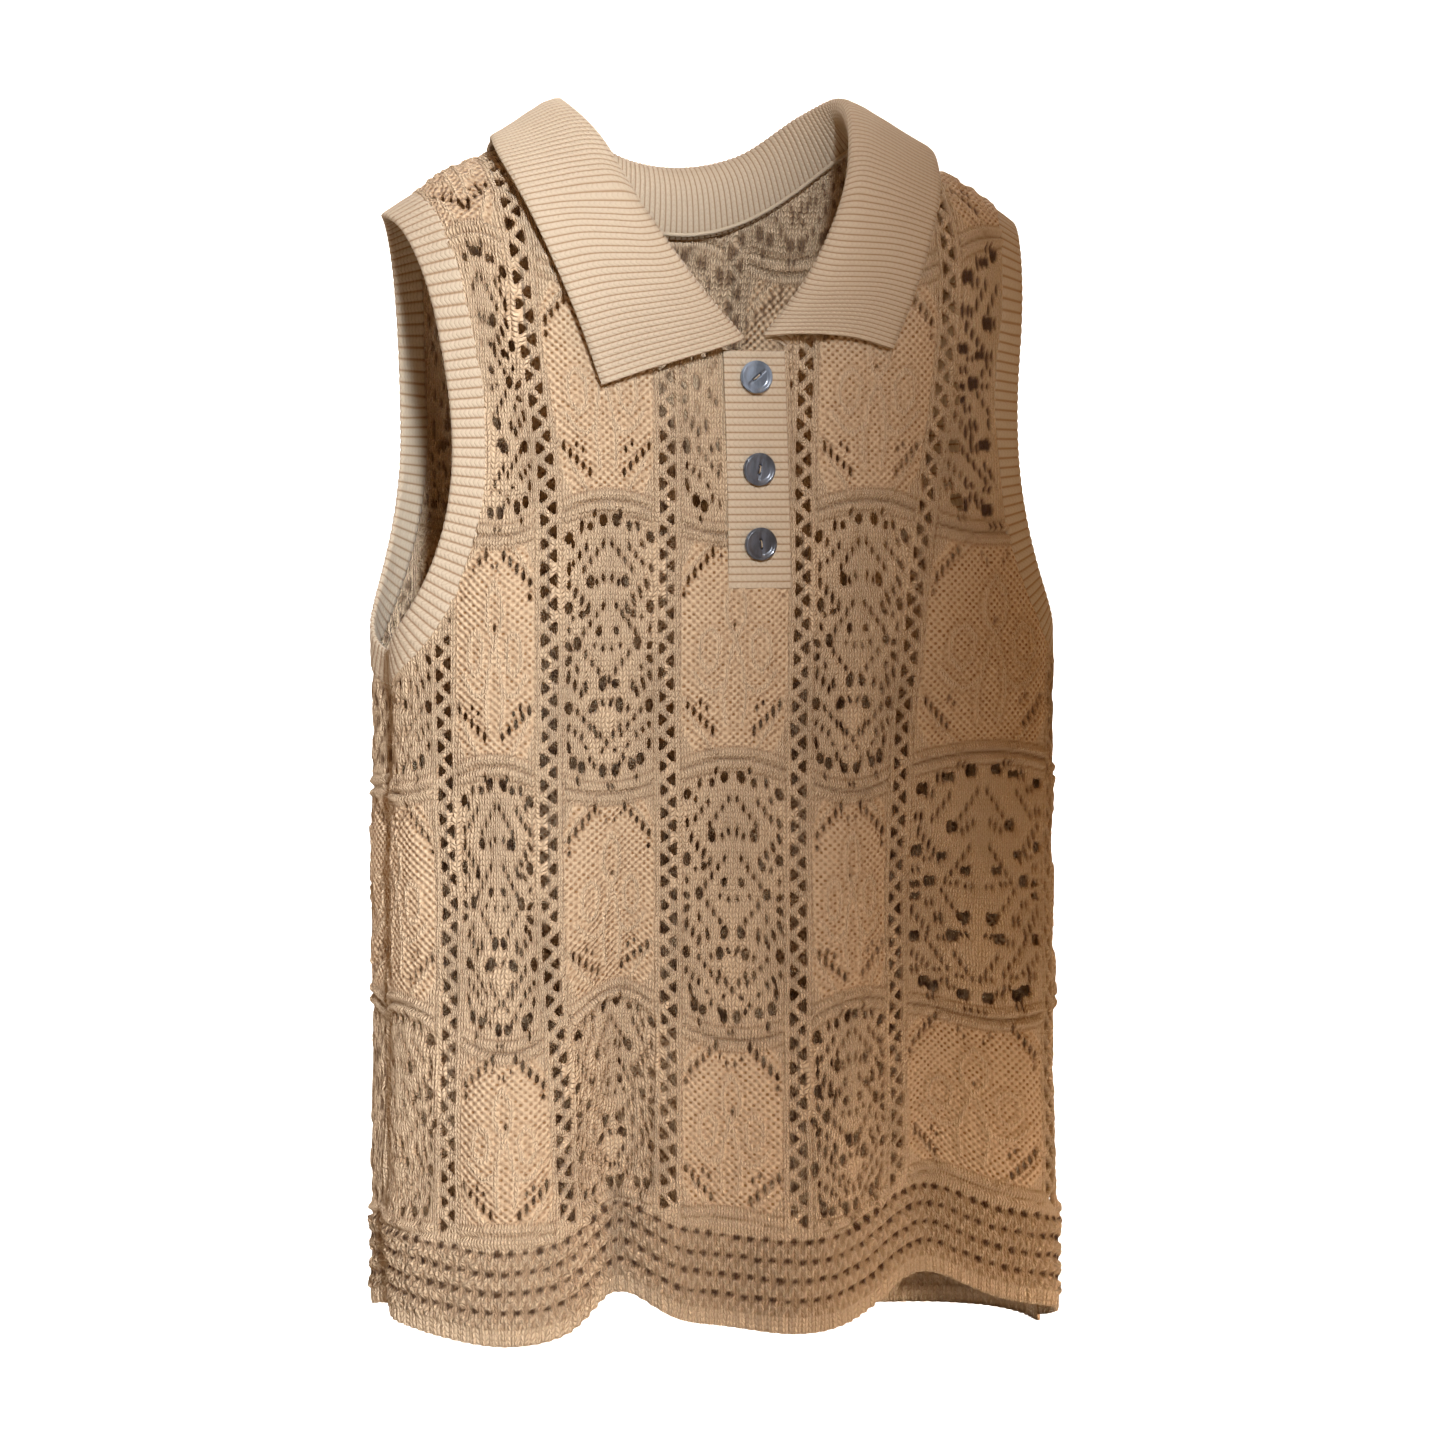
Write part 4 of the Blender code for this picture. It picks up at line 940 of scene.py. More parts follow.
def lace_shade(lace, near_hole):
    """How much painted shade the yarn gets: by holes, in gutters, between strands, beside cords and beside
    welts.
    """
    beside = np.abs(lace.from_ladder)
    gutter = hump(beside - LADDER_GUTTER, 0.0009) * (lace.V > HEM_BAND)
    dots = (0.5 + 0.5 * np.cos(2 * math.pi * lace.V / DOT_PITCH)) ** 2
    by_hole = (1 - smooth_step(near_hole / PIT_EDGE)) * HOLE_SHADE
    shade = np.maximum(by_hole, gutter * (0.25 + 0.75 * dots))
    shade = np.maximum(shade, HEM_SHADE * lace.between_strands)
    shade = np.maximum(shade, CORD_SHADE * lace.beside_cords)
    near = lace.from_border
    welts = 0.9 * hump(near, 0.0012) + 0.75 * hump(near - 0.0056, 0.0012)
    return np.maximum(shade, welts * (lace.row > 0) * (beside > LADDER_HALF))


def lace_half(name, lace, where, field, fields):
    """Half a panel: its cut grid wrapped on the body, with a short wall round each hole and edge."""
    faces, ends, share = cut_grid(field[where])

    def read(values):
        values = values[where].ravel()
        cut = values[ends[:, 0]] * (1 - share) + values[ends[:, 1]] * share
        return np.concatenate([values, cut])

    u, h = read(lace.U), read(lace.H)
    if lace.side == BACK:
        faces = [block[:, ::-1] for block in faces]
    fields = {key: read(values) for key, values in fields.items()}
    spot, outward = cloth_frame(lace.side, u, h)
    points = spot + outward * (PANEL_LIFT + fields.pop("lift"))[:, None]
    rims = free_edges(faces)
    rims = rims[np.abs(u[rims]).max(1) > 1e-6]
    rim_points = np.unique(rims)
    inner_id = np.full(len(points), -1)
    inner_id[rim_points] = len(points) + np.arange(len(rim_points))
    inner = points[rim_points] - outward[rim_points] * HOLE_WALL
    faces.append(np.stack([rims[:, 1], rims[:, 0], inner_id[rims[:, 0]], inner_id[rims[:, 1]]], 1))
    mesh, used = fast_mesh(name, np.concatenate([points, inner]), faces)
    fields = {key: np.concatenate([values, values[rim_points]]) for key, values in fields.items()}
    # painted shade: the walls round holes and edges are drawn fully dark
    fields["shade"][len(points) :] = 1.0
    stitch = np.stack([fields["stitch_u"], fields["stitch_v"]], 1)
    add_values(mesh, used, stitch, **{key: fields[key] for key in LACE_VALUES})
    return mesh


def lace_panel(side, name, node, material):
    """A lace panel's fine shell, in a left and a right half that share their middle line."""
    lace = Lace(side)
    lace.cut()
    near_hole = np.minimum(lace.holes, lace.pits)
    # painted shade: uncut pits are drawn dark, less so at the back
    deep = smooth_step(0.5 - lace.pits / PIT_EDGE) * (1.0 if side == FRONT else BACK_PIT_SHADE)
    fields = {"lift": finished_relief(lace, near_hole, deep), "moss": lace.moss, "deep": deep}
    fields["stitch_u"], fields["stitch_v"] = lace.stitches()
    fields["shade"] = lace_shade(lace, near_hole)
    fields["plain"] = np.clip(lace.hem + hump(lace.from_border, 0.005) * (lace.row > 0), 0, 1)
    field = np.minimum(lace.cloth + 1e-5, lace.holes)
    field[np.abs(field) < 1e-7] = 1e-7
    middle = len(lace.u) // 2
    for part, where in (("left", slice(0, middle + 1)), ("right", slice(middle, None))):
        mesh = lace_half(f"{name}_{part}", lace, where, field, fields)
        made = place(mesh, f"{name}_{part}", material, node, "lace_knit")


def grid_faces(number):
    """Four-cornered faces between the points of a grid of numbers."""
    corners = number[:-1, :-1], number[:-1, 1:], number[1:, 1:], number[1:, :-1]
    return np.stack(corners, -1).reshape(-1, 4)


def free_edges(faces):
    """Edges that only one face has, each as the face runs along it."""
    starts, stops = [], []
    for block in faces:
        for k in range(block.shape[1]):
            starts.append(block[:, k])
            stops.append(block[:, (k + 1) % block.shape[1]])
    start, stop = np.concatenate(starts), np.concatenate(stops)
    big = int(max(start.max(), stop.max())) + 1
    key, back = start * big + stop, stop * big + start
    alone = ~np.isin(key, back)
    return np.stack([start[alone], stop[alone]], 1)


# Ribbed pieces
COLLAR_RIB_PITCH = 0.0029
BAND_RIB_PITCH = 0.0046
PLACKET_RIB_PITCH = 0.0034
RIB_SAMPLES = 6
RIB_ROUND = 0.55  # below 1 the ribs are fuller and their grooves narrower
RIB_DEPTH, PLACKET_RIB_DEPTH = 0.00055, 0.0005
PLACKET_ROWS = (1, 0.985, 0.93, 0.8, 0.55, 0.2, -0.2, -0.55, -0.8, -0.93, -0.985, -1)
PLACKET_OVER = 0.0004  # by which the knit strips reach past the solids' sides
LINKING_RADIUS, THREAD_RADIUS = 0.0009, 0.00028
BAND_REACHES = (-0.0010, 0.0004, 0.0024, 0.0048, 0.0074, 0.0100, 0.0124, 0.0142, 0.0152)
COLLAR_FINE_ROWS = 30
LINKING_IN = 0.0019


def path_length(path):
    return float(np.linalg.norm(np.diff(path, axis=0), axis=1).sum())


def edge_rows(side, path, reaches, hand=RIGHT):
    """Rows of points beside a panel's right-hand edge, or its mirror, at the given distances off it."""
    along = unit(np.gradient(path, axis=0))
    off = np.stack([-along[:, 1], along[:, 0]], 1)
    near_seam = np.exp((path[:, 1] - shoulder_height(path[:, 0])) / SEAM_FADE)
    off[:, 1] -= 2 * SHOULDER_FALL * path[:, 0] * off[:, 0] * near_seam
    rows = [path + off * reach for reach in reaches]
    return np.array([cloth_point(side, row[:, 0] * hand, row[:, 1], np.zeros(len(row))) for row in rows])


def sheet_normals(middle, closed=False):
    """Which way a grid of points faces, its columns being one way along and its rows the other."""
    along = np.gradient(middle, axis=1)
    if closed:
        along = np.roll(middle, -1, axis=1) - np.roll(middle, 1, axis=1)
    return unit(np.cross(along, np.gradient(middle, axis=0)))


def ribbed_shell(name, middle, thick, depth, pitch_rows, closed=False, taper=0.6):
    """A strip with rounded ribs on both faces, every RIB_SAMPLES columns being one rib."""
    normal = sheet_normals(middle, closed)
    rows, columns = middle.shape[:2]
    phase = np.arange(columns) / RIB_SAMPLES
    front = np.abs(np.sin(math.pi * phase)) ** RIB_ROUND
    behind = np.abs(np.sin(math.pi * (phase + 0.5))) ** RIB_ROUND
    edge = np.ones(rows)
    edge[0] = edge[-1] = taper
    sides = []
    for way, profile in ((1, front), (-1, behind)):
        lift = edge[:, None] * (thick / 2) - depth * (1 - profile[None, :])
        sides.append(middle + normal * (way * lift)[..., None])
    points = np.concatenate([side.reshape(-1, 3) for side in sides])
    number = np.arange(rows * columns).reshape(rows, columns)
    if closed:
        number = np.concatenate([number, number[:, :1]], 1)
    outer = grid_faces(number)
    total = rows * columns
    inner = outer[:, ::-1] + total
    rims = []
    for row, way in ((0, 1), (-1, -1)):
        one, two = number[row, :-1], number[row, 1:]
        rim = np.stack([two, one, one + total, two + total], 1)
        rims.append(rim[:, ::way])
    if not closed:
        for column, way in ((0, 1), (-1, -1)):
            one, two = number[:-1, column], number[1:, column]
            rim = np.stack([one, two, two + total, one + total], 1)
            rims.append(rim[:, ::way])
    mesh, used = fast_mesh(name, points, [outer, inner, *rims])
    up = along_path(middle[:, columns // 2])
    across = np.broadcast_to(phase, (rows, columns))
    upward = np.broadcast_to(up[:, None] / pitch_rows, (rows, columns))
    stitch = np.stack([across.ravel(), upward.ravel()], 1)
    behind_stitch = stitch + (0.5, 0.0)
    # painted shade, deepest in the grooves between ribs
    shade = np.concatenate([np.tile(1 - profile, rows) for profile in (front, behind)])
    add_values(mesh, used, np.concatenate([stitch, behind_stitch]), shade=shade)
    return mesh


def armhole_band(name, hand, material):
    """A closed ribbed strip round one armhole, its inner edge tucked under the panels' edges."""
    reaches = -np.array(BAND_REACHES)
    length = sum(path_length(spaced(armhole_curve(side), 0.002)) for side in (FRONT, BACK))
    ribs = round(length / BAND_RIB_PITCH)
    columns = ribs * RIB_SAMPLES
    halves = []
    for side in (FRONT, BACK):
        edge = armhole_curve(side)
        before = edge[0] + (edge[0] - edge[1])
        after = edge[-1] + (0, 0.001)
        count = columns // 2 + 1
        edge = read_path(edge, np.linspace(0, along_path(edge)[-1], count))
        halves.append(edge_rows(side, np.concatenate([[before], edge, [after]]), reaches, hand)[:, 1:-1])
    middle = np.concatenate([halves[0][:, :-1], halves[1][:, :0:-1]], axis=1)
    if hand == RIGHT:
        middle = middle[:, ::-1]
    mesh = ribbed_shell(name, middle, BAND_THICK + 0.0004, RIB_DEPTH, STITCH_H, closed=True)
    made = place(mesh, name, material, name.replace("_knit", ""), "rib_knit")


def collar_seam(hand, step):
    """The collar's first two rows, from the middle back to one front end."""
    reaches = np.array([-0.0006, STAND_FOOT])
    back = spaced(neck_curve(BACK)[::-1], step)
    front = spaced(neck_curve(FRONT), step)[:-1]
    back, front = edge_rows(BACK, back, reaches, hand), edge_rows(FRONT, front, -reaches, hand)
    return np.concatenate([back[:, :-1], front[:, 1:]], 1)


def laid_over(points, least):
    """Points moved out where they would lie closer to the panels than the least lift."""
    places, ways = [], []
    for side in (FRONT, BACK):
        edge = panel_edge(side)
        outline = np.concatenate([edge, (edge * (-1, 1))[::-1]])
        across, down = np.linspace(-LAID_HALF, LAID_HALF, 101), np.linspace(0.0005, LAID_DOWN, 58)
        u, below = np.meshgrid(across, down)
        flat = np.stack([u, shoulder_height(u) - below], -1).reshape(-1, 2)
        u, h = flat[inside(flat, outline)].T
        spot, way = cloth_frame(side, u, h)
        places.append(spot)
        ways.append(way)
    places, ways = np.concatenate(places), np.concatenate(ways)
    nearest = np.array([np.argmin(((places - p) ** 2).sum(1)) for p in points])
    short = least - ((points - places[nearest]) * ways[nearest]).sum(1)
    push = (short + np.sqrt(short**2 + 0.0005**2)) / 2
    return points + ways[nearest] * push[:, None]


def smooth_rows(rows, count):
    """More rows between the given ones, on smooth curves through them."""
    rows = np.array(rows)
    gaps = np.linalg.norm(np.diff(rows, axis=0), axis=2).mean(1)
    along = np.concatenate([[0], np.cumsum(gaps)])
    slopes = np.gradient(rows, along, axis=0)
    at = np.linspace(0, along[-1], count)
    i = np.clip(np.searchsorted(along, at) - 1, 0, len(along) - 2)
    span = (along[i + 1] - along[i])[:, None, None]
    return hermite((at - along[i])[:, None, None] / span, span, i, rows, slopes)


def blurred(row, times):
    """A row of points smoothed along its length, its ends kept."""
    for _ in range(times):
        row = np.concatenate([row[:1], (row[:-2] + 2 * row[1:-1] + row[2:]) / 4, row[-1:]])
    return row


def collar(material):
    """The ribbed collar: its stand rises from the neck seam and its fall turns over the panels."""
    left, right = collar_seam(LEFT, COLLAR_END_GAP), collar_seam(RIGHT, COLLAR_END_GAP)
    ribs = 2 * round(path_length(right[0]) / COLLAR_RIB_PITCH)
    share = np.linspace(-1, 1, ribs * RIB_SAMPLES + 1)
    seam = []
    for row in (0, 1):
        ends = ((left[row], -share[share < 0]), (right[row], share[share >= 0]))
        seam.append(np.concatenate([read_path(end, part * along_path(end)[-1]) for end, part in ends]))
    columns = list(zip(*COLLAR_STATIONS))
    fold = np.stack([smooth_column(share, columns[0], columns[k]) for k in (1, 2, 3)], 1)
    edges = np.array([cloth_point(side, u, h, np.array(lift)) for side, u, h, lift in zip(*columns[4:])])
    edge = np.stack([smooth_column(share, columns[0], edges[:, k]) for k in range(3)], 1)
    rising = unit(seam[1] - seam[0])
    stand, fall = fold - seam[1], edge - fold
    over = unit(fall - (fall * unit(stand)).sum(1, keepdims=True) * unit(stand))
    reach = np.linalg.norm(stand, axis=1, keepdims=True)
    along = np.gradient(edge, axis=0)
    down = unit(np.cross(along, unit(np.cross(along, fall))) * -1)
    width = np.linalg.norm(fall, axis=1, keepdims=True)
    rows = [seam[0], seam[1]]
    upright = seam[1] + rising * reach * STAND_RISE
    rows.append(bezier(seam[1], upright, fold - over * np.minimum(FOLD_ROUND, reach * 0.4), fold, 0.6))
    for t in (0.0, 0.2, 0.45, 0.72, 1.0):
        row = bezier(fold, fold + over * FOLD_ROUND, edge - down * width * FALL_REACH, edge, t)
        if t > COLLAR_FREE:
            moved = laid_over(row, COLLAR_LEAST_LIFT)
            row = row + blurred(moved - row, 60)
        rows.append(row)
    middle = smooth_rows(rows, COLLAR_FINE_ROWS)
    mesh = ribbed_shell("collar_knit", middle, COLLAR_THICK + 0.0003, RIB_DEPTH, STITCH_H)
    made = place(mesh, "collar_knit", material, "collar", "rib_knit")
    return middle[1] + sheet_normals(middle)[1] * LINKING_IN


def placket_strip(name, facing, material):
    """One of the placket's two ribbed strips, its ribs running across it."""
    top = -NECK_DROP[FRONT] - COLLAR_END_GAP / 2
    foot = -NECK_DROP[FRONT] - PLACKET_LENGTH - 0.0006
    ribs = round((top - foot) / PLACKET_RIB_PITCH)
    heights = np.linspace(foot, top, ribs * RIB_SAMPLES + 1)
    across = np.array(PLACKET_ROWS) * facing
    u, h = np.meshgrid(across * (PLACKET_HALF + PLACKET_OVER), heights, indexing="ij")
    middle = cloth_point(FRONT, u, h, np.full(u.shape, facing * PLACKET_LIFT))
    mesh = ribbed_shell(name, middle, PLACKET_THICK + 0.0004, PLACKET_RIB_DEPTH, STITCH_H, taper=0.75)
    made = place(mesh, name, material, name.replace("_knit", ""), "rib_knit")


def tube(name, path, radius, material, slot, sides=8):
    """A cord along a path, a little lumpy as a chain of stitches is."""
    path = np.asarray(path)
    along = unit(np.gradient(path, axis=0))
    aside = unit(np.cross(along, np.array([0.0, 0.0, 1.0])))
    above = np.cross(aside, along)
    angle = np.linspace(0, 2 * math.pi, sides, endpoint=False)
    lump = radius * (1 + 0.18 * np.cos(np.arange(len(path)) * math.pi))
    ring = aside[:, None] * np.cos(angle)[None, :, None] + above[:, None] * np.sin(angle)[None, :, None]
    points = (path[:, None] + ring * lump[:, None, None]).reshape(-1, 3)
    number = np.arange(len(points)).reshape(len(path), sides)
    number = np.concatenate([number, number[:, :1]], 1)
    ends = [number[:1, :-1][:, ::-1], number[-1:, :-1]]
    mesh, used = fast_mesh(name, points, [grid_faces(number), *ends])
    stitch = np.stack([np.repeat(np.arange(len(path)) * 0.5, sides), np.tile(angle / math.pi, len(path))], 1)
    add_values(mesh, used, stitch, shade=np.zeros(len(points)))
    return place(mesh, name, material, None, slot)


def button_face(x, y, share):
    """Height of a button's front over its back, and its carved groove, which narrows to both ends."""
    worn = np.clip((share - 0.90) / 0.1, 0, 1) ** 2
    front = BUTTON_THICK - 0.0007 * smooth_step((0.90 - share) / 0.25) - 0.0008 * worn
    narrow = np.clip(1 - np.abs(x) / GROOVE_REACH, 0, 1)
    groove = hump(y, 0.0006 + 0.0006 * narrow) * smooth_step((GROOVE_REACH - np.abs(x)) / 0.001)
    front -= GROOVE_DEPTH * groove
    for way in (1, -1):
        hole = BUTTON_HOLE - np.hypot(x - way * BUTTON_HOLE_OFF, y)
        front -= 0.0013 * smooth_step(hole / 0.0004)
    return front, 0.0006 * worn, groove


def button(name, h, turn, material, thread):
    """A dished button with two holes joined by a carved groove, and its thread."""
    rings = np.concatenate([np.linspace(0, 0.30, 10), np.linspace(0.34, 0.72, 7), BUTTON_RIM_RINGS])
    angle = np.linspace(0, 2 * math.pi, BUTTON_SPOKES, endpoint=False)
    r, a = np.meshgrid(rings * BUTTON_RADIUS, angle, indexing="ij")
    x, y = r * np.cos(a), r * np.sin(a)
    front, back, groove = button_face(x, y, r / BUTTON_RADIUS)
    lift = PLACKET_LIFT + PLACKET_THICK / 2 + 0.0006 + SEAM_GAP
    foot = cloth_point(FRONT, 0.0, h, np.array(lift))
    out = unit(cloth_point(FRONT, 0.0, h, np.array(lift + 0.001)) - foot)
    right = np.array([1.0, 0.0, 0.0])
    up = unit(np.cross(out, right))
    turn = math.radians(turn)
    first = right * math.cos(turn) + up * math.sin(turn)
    second = up * math.cos(turn) - right * math.sin(turn)
    plane = foot + x[..., None] * first + y[..., None] * second
    layers = [plane + front[..., None] * out, plane + back[..., None] * out]
    points = np.concatenate([layer.reshape(-1, 3) for layer in layers])
    number = np.arange(r.size).reshape(r.shape)
    number = np.concatenate([number, number[:, :1]], 1)
    quads = np.roll(grid_faces(number[1:])[:, ::-1], 1, axis=1)
    fan = np.stack([number[0, :-1] * 0, number[1, :-1], number[1, 1:]], 1)
    one, two = number[-1, :-1], number[-1, 1:]
    rim = np.stack([two + r.size, one + r.size, one, two], 1)
    faces = [quads, quads[:, ::-1] + r.size, fan, fan[:, ::-1] + r.size, rim]
    mesh, used = fast_mesh(f"{name}_horn", points, faces)
    stitch = np.stack([x.ravel(), y.ravel()], 1) / BUTTON_RADIUS
    # the groove's depth, kept for painted shade in the horn
    add_values(mesh, used, np.concatenate([stitch, stitch]), shade=np.tile(groove.ravel(), 2))
    place(mesh, f"{name}_horn", material, name, "horn_button")
    path = []
    for t in np.linspace(-1, 1, 13):
        deep = BUTTON_THICK - 0.0004 + 0.0005 * (1 - t * t) - 0.0012 * (abs(t) > 0.95)
        path.append(foot + first * BUTTON_HOLE_OFF * t + out * deep)
    tube(f"{name}_thread", path, THREAD_RADIUS, thread, "lace_knit", sides=6)


class Shader:
    """A Principled material and short calls for its nodes."""

    def __init__(self, name):
        self.material = bpy.data.materials.new(name)
        self.material.use_nodes = True
        self.tree = self.material.node_tree
        self.main = self.tree.nodes["Principled BSDF"]

    def put(self, socket, value):
        if isinstance(value, bpy.types.NodeSocket):
            self.tree.links.new(value, socket)
        elif value is not None:
            socket.default_value = value

    def math(self, operation, a, b=None):
        node = self.tree.nodes.new("ShaderNodeMath")
        node.operation = operation
        for socket, value in zip(node.inputs, (a, b)):
            self.put(socket, value)
        return node.outputs[0]

    def times(self, a, b):
        return self.math("MULTIPLY", a, b)

    def plus(self, a, b):
        return self.math("ADD", a, b)

    def minus(self, a, b):
        return self.math("SUBTRACT", a, b)

    def mix(self, share, a, b, kind="RGBA"):
        node = self.tree.nodes.new("ShaderNodeMix")
        node.data_type = kind
        first = {"RGBA": (6, 7), "FLOAT": (2, 3)}[kind]
        self.put(node.inputs[0], share)
        self.put(node.inputs[first[0]], a)
        self.put(node.inputs[first[1]], b)
        return node.outputs[2 if kind == "RGBA" else 0]

    def value(self, name):
        node = self.tree.nodes.new("ShaderNodeAttribute")
        node.attribute_name = name
        return node.outputs["Fac"]

    def stitch(self):
        node = self.tree.nodes.new("ShaderNodeUVMap")
        node.uv_map = "stitch"
        parts = self.tree.nodes.new("ShaderNodeSeparateXYZ")
        self.tree.links.new(node.outputs[0], parts.inputs[0])
        return parts.outputs[0], parts.outputs[1]

    def place(self):
        return self.tree.nodes.new("ShaderNodeTexCoord").outputs["Object"]

    def node(self, kind, values):
        """A node with the given values, or links from other nodes, at its named inputs."""
        node = self.tree.nodes.new("ShaderNode" + kind)
        for name, value in values.items():
            self.put(node.inputs[name], value)
        return node

    def noise(self, scale, detail=2.0, where=None, rough=0.5):
        where = self.place() if where is None else where
        values = {"Scale": scale, "Detail": detail, "Roughness": rough, "Vector": where}
        return self.node("TexNoise", values).outputs["Fac"]

    def ramp(self, value, low, high):
        node = self.node("MapRange", {"Value": value, "From Min": low, "From Max": high})
        node.interpolation_type = "SMOOTHSTEP"
        return node.outputs[0]

    def bump(self, height, distance, strength, normal=None):
        values = {"Distance": distance, "Strength": strength, "Height": height, "Normal": normal}
        return self.node("Bump", values).outputs[0]

    def finish(self, colour, normal, values):
        """Joins colour and normal to the surface, sets its other values, and gives the material."""
        self.put(self.main.inputs["Base Color"], colour)
        self.put(self.main.inputs["Normal"], normal)
        for name, value in values.items():
            self.main.inputs[name].default_value = value
        return self.material


YARN_LIGHT = (0.630, 0.462, 0.285, 1.0)
# the yarn's shaded copy, which its painted shade darkens towards
YARN_SHADE_COLOUR = (0.220, 0.108, 0.038, 1.0)
MOSS_SHADE = 0.14  # painted shade: a share of the yarn's shade colour, all over the moss
STITCH_WANDER = 0.9  # of a stitch, from place to place
KNIT_BUMP = 0.75  # of the moss's own
# painted shade: the near-black drawn in uncut pits in place of open holes
HOLE_SHADOW_COLOUR = (0.070, 0.032, 0.011, 1.0)
RIB_LIGHT = (0.470, 0.380, 0.262, 1.0)
# the ribbing's shaded copy, which its painted shade darkens towards
RIB_SHADE_COLOUR = (0.250, 0.152, 0.076, 1.0)
YARN_SHEEN = {"Specular IOR Level": 0.12, "Sheen Weight": 0.05, "Sheen Roughness": 0.5}


def dimmed(colour, share):
    """A darker tone of a colour."""
    return tuple(c * share for c in colour[:3]) + (1.0,)


def yarn_colour(shader, light, dark, pits):
    """Yarn colour with a slow drift, a fine fleck, and painted shade in its hollows."""
    drift = shader.ramp(shader.noise(14.0, 2.0), 0.3, 0.7)
    fleck = shader.ramp(shader.noise(900.0, 2.0), 0.25, 0.75)
    pale = shader.mix(shader.times(drift, 0.35), light, dimmed(light, 0.86))
    pale = shader.mix(shader.times(fleck, 0.22), pale, dimmed(light, 0.74))
    # painted shade: mixed towards the shade colour where pits is high
    return shader.mix(pits, pale, dark)


def yarn_normal(shader, height, distance, strength, fibre_strength):
    """Stitches in relief, with fine fibres over them."""
    normal = shader.bump(height, distance, strength)
    fibre = shader.noise(2600.0, 3.0, rough=0.6)
    return shader.bump(fibre, 0.0002, fibre_strength, normal)


def lace_material():
    """Fine knit: slanted stitch legs, or a moss of bumps in the closed blocks, with painted shade in their
    hollows and by holes.
    """
    s = Shader("lace_yarn")
    across, up = s.stitch()
    across = s.plus(across, s.times(s.noise(90.0), STITCH_WANDER))
    up = s.plus(up, s.times(s.noise(70.0), STITCH_WANDER))
    patchy = s.ramp(s.noise(260.0), 0.35, 0.65)
    from_middle = s.math("ABSOLUTE", s.minus(s.math("FRACT", across), 0.5))
    leg = s.minus(s.times(from_middle, 4.0), 1.0)
    leg = s.minus(1.0, s.times(leg, leg))
    climb = s.math("FRACT", s.plus(up, s.times(from_middle, 1.1)))
    climb = s.minus(s.times(climb, 2.0), 1.0)
    climb = s.minus(1.0, s.math("POWER", s.math("ABSOLUTE", climb), 3.0))
    knit = s.times(leg, climb)
    turn_a = s.math("SINE", s.times(across, math.pi * 1.4))
    turn_b = s.math("SINE", s.times(up, math.pi * 1.3))
    seed = s.times(turn_a, turn_b)
    moss = s.plus(s.times(seed, 0.5), 0.5)
    weight = s.value("moss")
    height = s.mix(weight, s.times(knit, KNIT_BUMP), moss, "FLOAT")
    plain = s.value("plain")
    # painted shade in the knit's and the moss's hollows, and from the shade attribute
    knit_shade_share = s.mix(plain, 0.30, 0.20, "FLOAT")
    knit_pit_shade = s.times(s.minus(1.0, s.ramp(knit, 0.0, 0.45)), knit_shade_share)
    moss_pit_shade = s.times(s.ramp(seed, 0.10, -0.85), s.mix(patchy, 0.45, 0.95, "FLOAT"))
    pits = s.mix(weight, knit_pit_shade, moss_pit_shade, "FLOAT")
    pits = s.math("MAXIMUM", pits, s.times(s.value("shade"), 0.75))
    colour = yarn_colour(s, YARN_LIGHT, YARN_SHADE_COLOUR, pits)
    # painted shade over the whole moss
    colour = s.mix(s.times(weight, MOSS_SHADE), colour, YARN_SHADE_COLOUR)
    # painted shade: uncut pits drawn dark, as open holes would look
    colour = s.mix(s.value("deep"), colour, HOLE_SHADOW_COLOUR)
    normal = yarn_normal(s, height, 0.0015, 1.0, 0.5)
    return s.finish(colour, normal, {"Roughness": 0.82, **YARN_SHEEN})


def rib_material():
    """Fine ribbing: a column of small stitch legs down each rib, and painted shade in the grooves between."""
    s = Shader("rib_yarn")
    across, up = s.stitch()
    from_middle = s.math("ABSOLUTE", s.minus(s.math("FRACT", across), 0.5))
    climb = s.math("FRACT", s.plus(up, s.times(from_middle, 1.2)))
    climb = s.minus(s.times(climb, 2.0), 1.0)
    knit = s.minus(1.0, s.math("POWER", s.math("ABSOLUTE", climb), 3.0))
    # painted shade in the grooves between ribs and in the stitch legs' hollows
    pits = s.times(s.ramp(s.value("shade"), 0.15, 0.95), 0.85)
    pits = s.math("MAXIMUM", pits, s.times(s.minus(1.0, s.ramp(knit, 0.0, 0.5)), 0.30))
    colour = yarn_colour(s, RIB_LIGHT, RIB_SHADE_COLOUR, pits)
    normal = yarn_normal(s, knit, 0.0004, 0.6, 0.45)
    return s.finish(colour, normal, {"Roughness": 0.80, **YARN_SHEEN})


def horn_material(name, blue):
    """Smoky polished horn, streaked, bluer where it is given more blue."""
    s = Shader(name)
    streaks = s.node("Mapping", {"Scale": (1.0, 1.0, 0.25), "Vector": s.place()})
    cloud = s.ramp(s.noise(220.0, 4.0, streaks.outputs[0], 0.6), 0.35, 0.68)
    dark = (0.014 + 0.06 * blue, 0.016 + 0.08 * blue, 0.020 + 0.10 * blue, 1.0)
    pale = (0.05 + 0.13 * blue, 0.055 + 0.17 * blue, 0.065 + 0.21 * blue, 1.0)
    colour = s.mix(cloud, dark, pale)
    # painted shade in the carved groove
    colour = s.mix(s.times(s.value("shade"), 0.6), colour, (0.02, 0.02, 0.025, 1.0))
    normal = s.bump(s.noise(500.0, 3.0), 0.0001, 0.25)
    return s.finish(colour, normal, {"Roughness": 0.28, "Coat Weight": 0.4, "Coat Roughness": 0.12})


def floor_material():
    """Pale matt paint, very slightly uneven."""
    s = Shader("floor_paint")
    tint = s.mix(s.times(s.noise(3.0, 2.0), 0.04), FLOOR_COLOUR, dimmed(FLOOR_COLOUR, 0.97))
    return s.finish(tint, None, {"Roughness": 0.9})


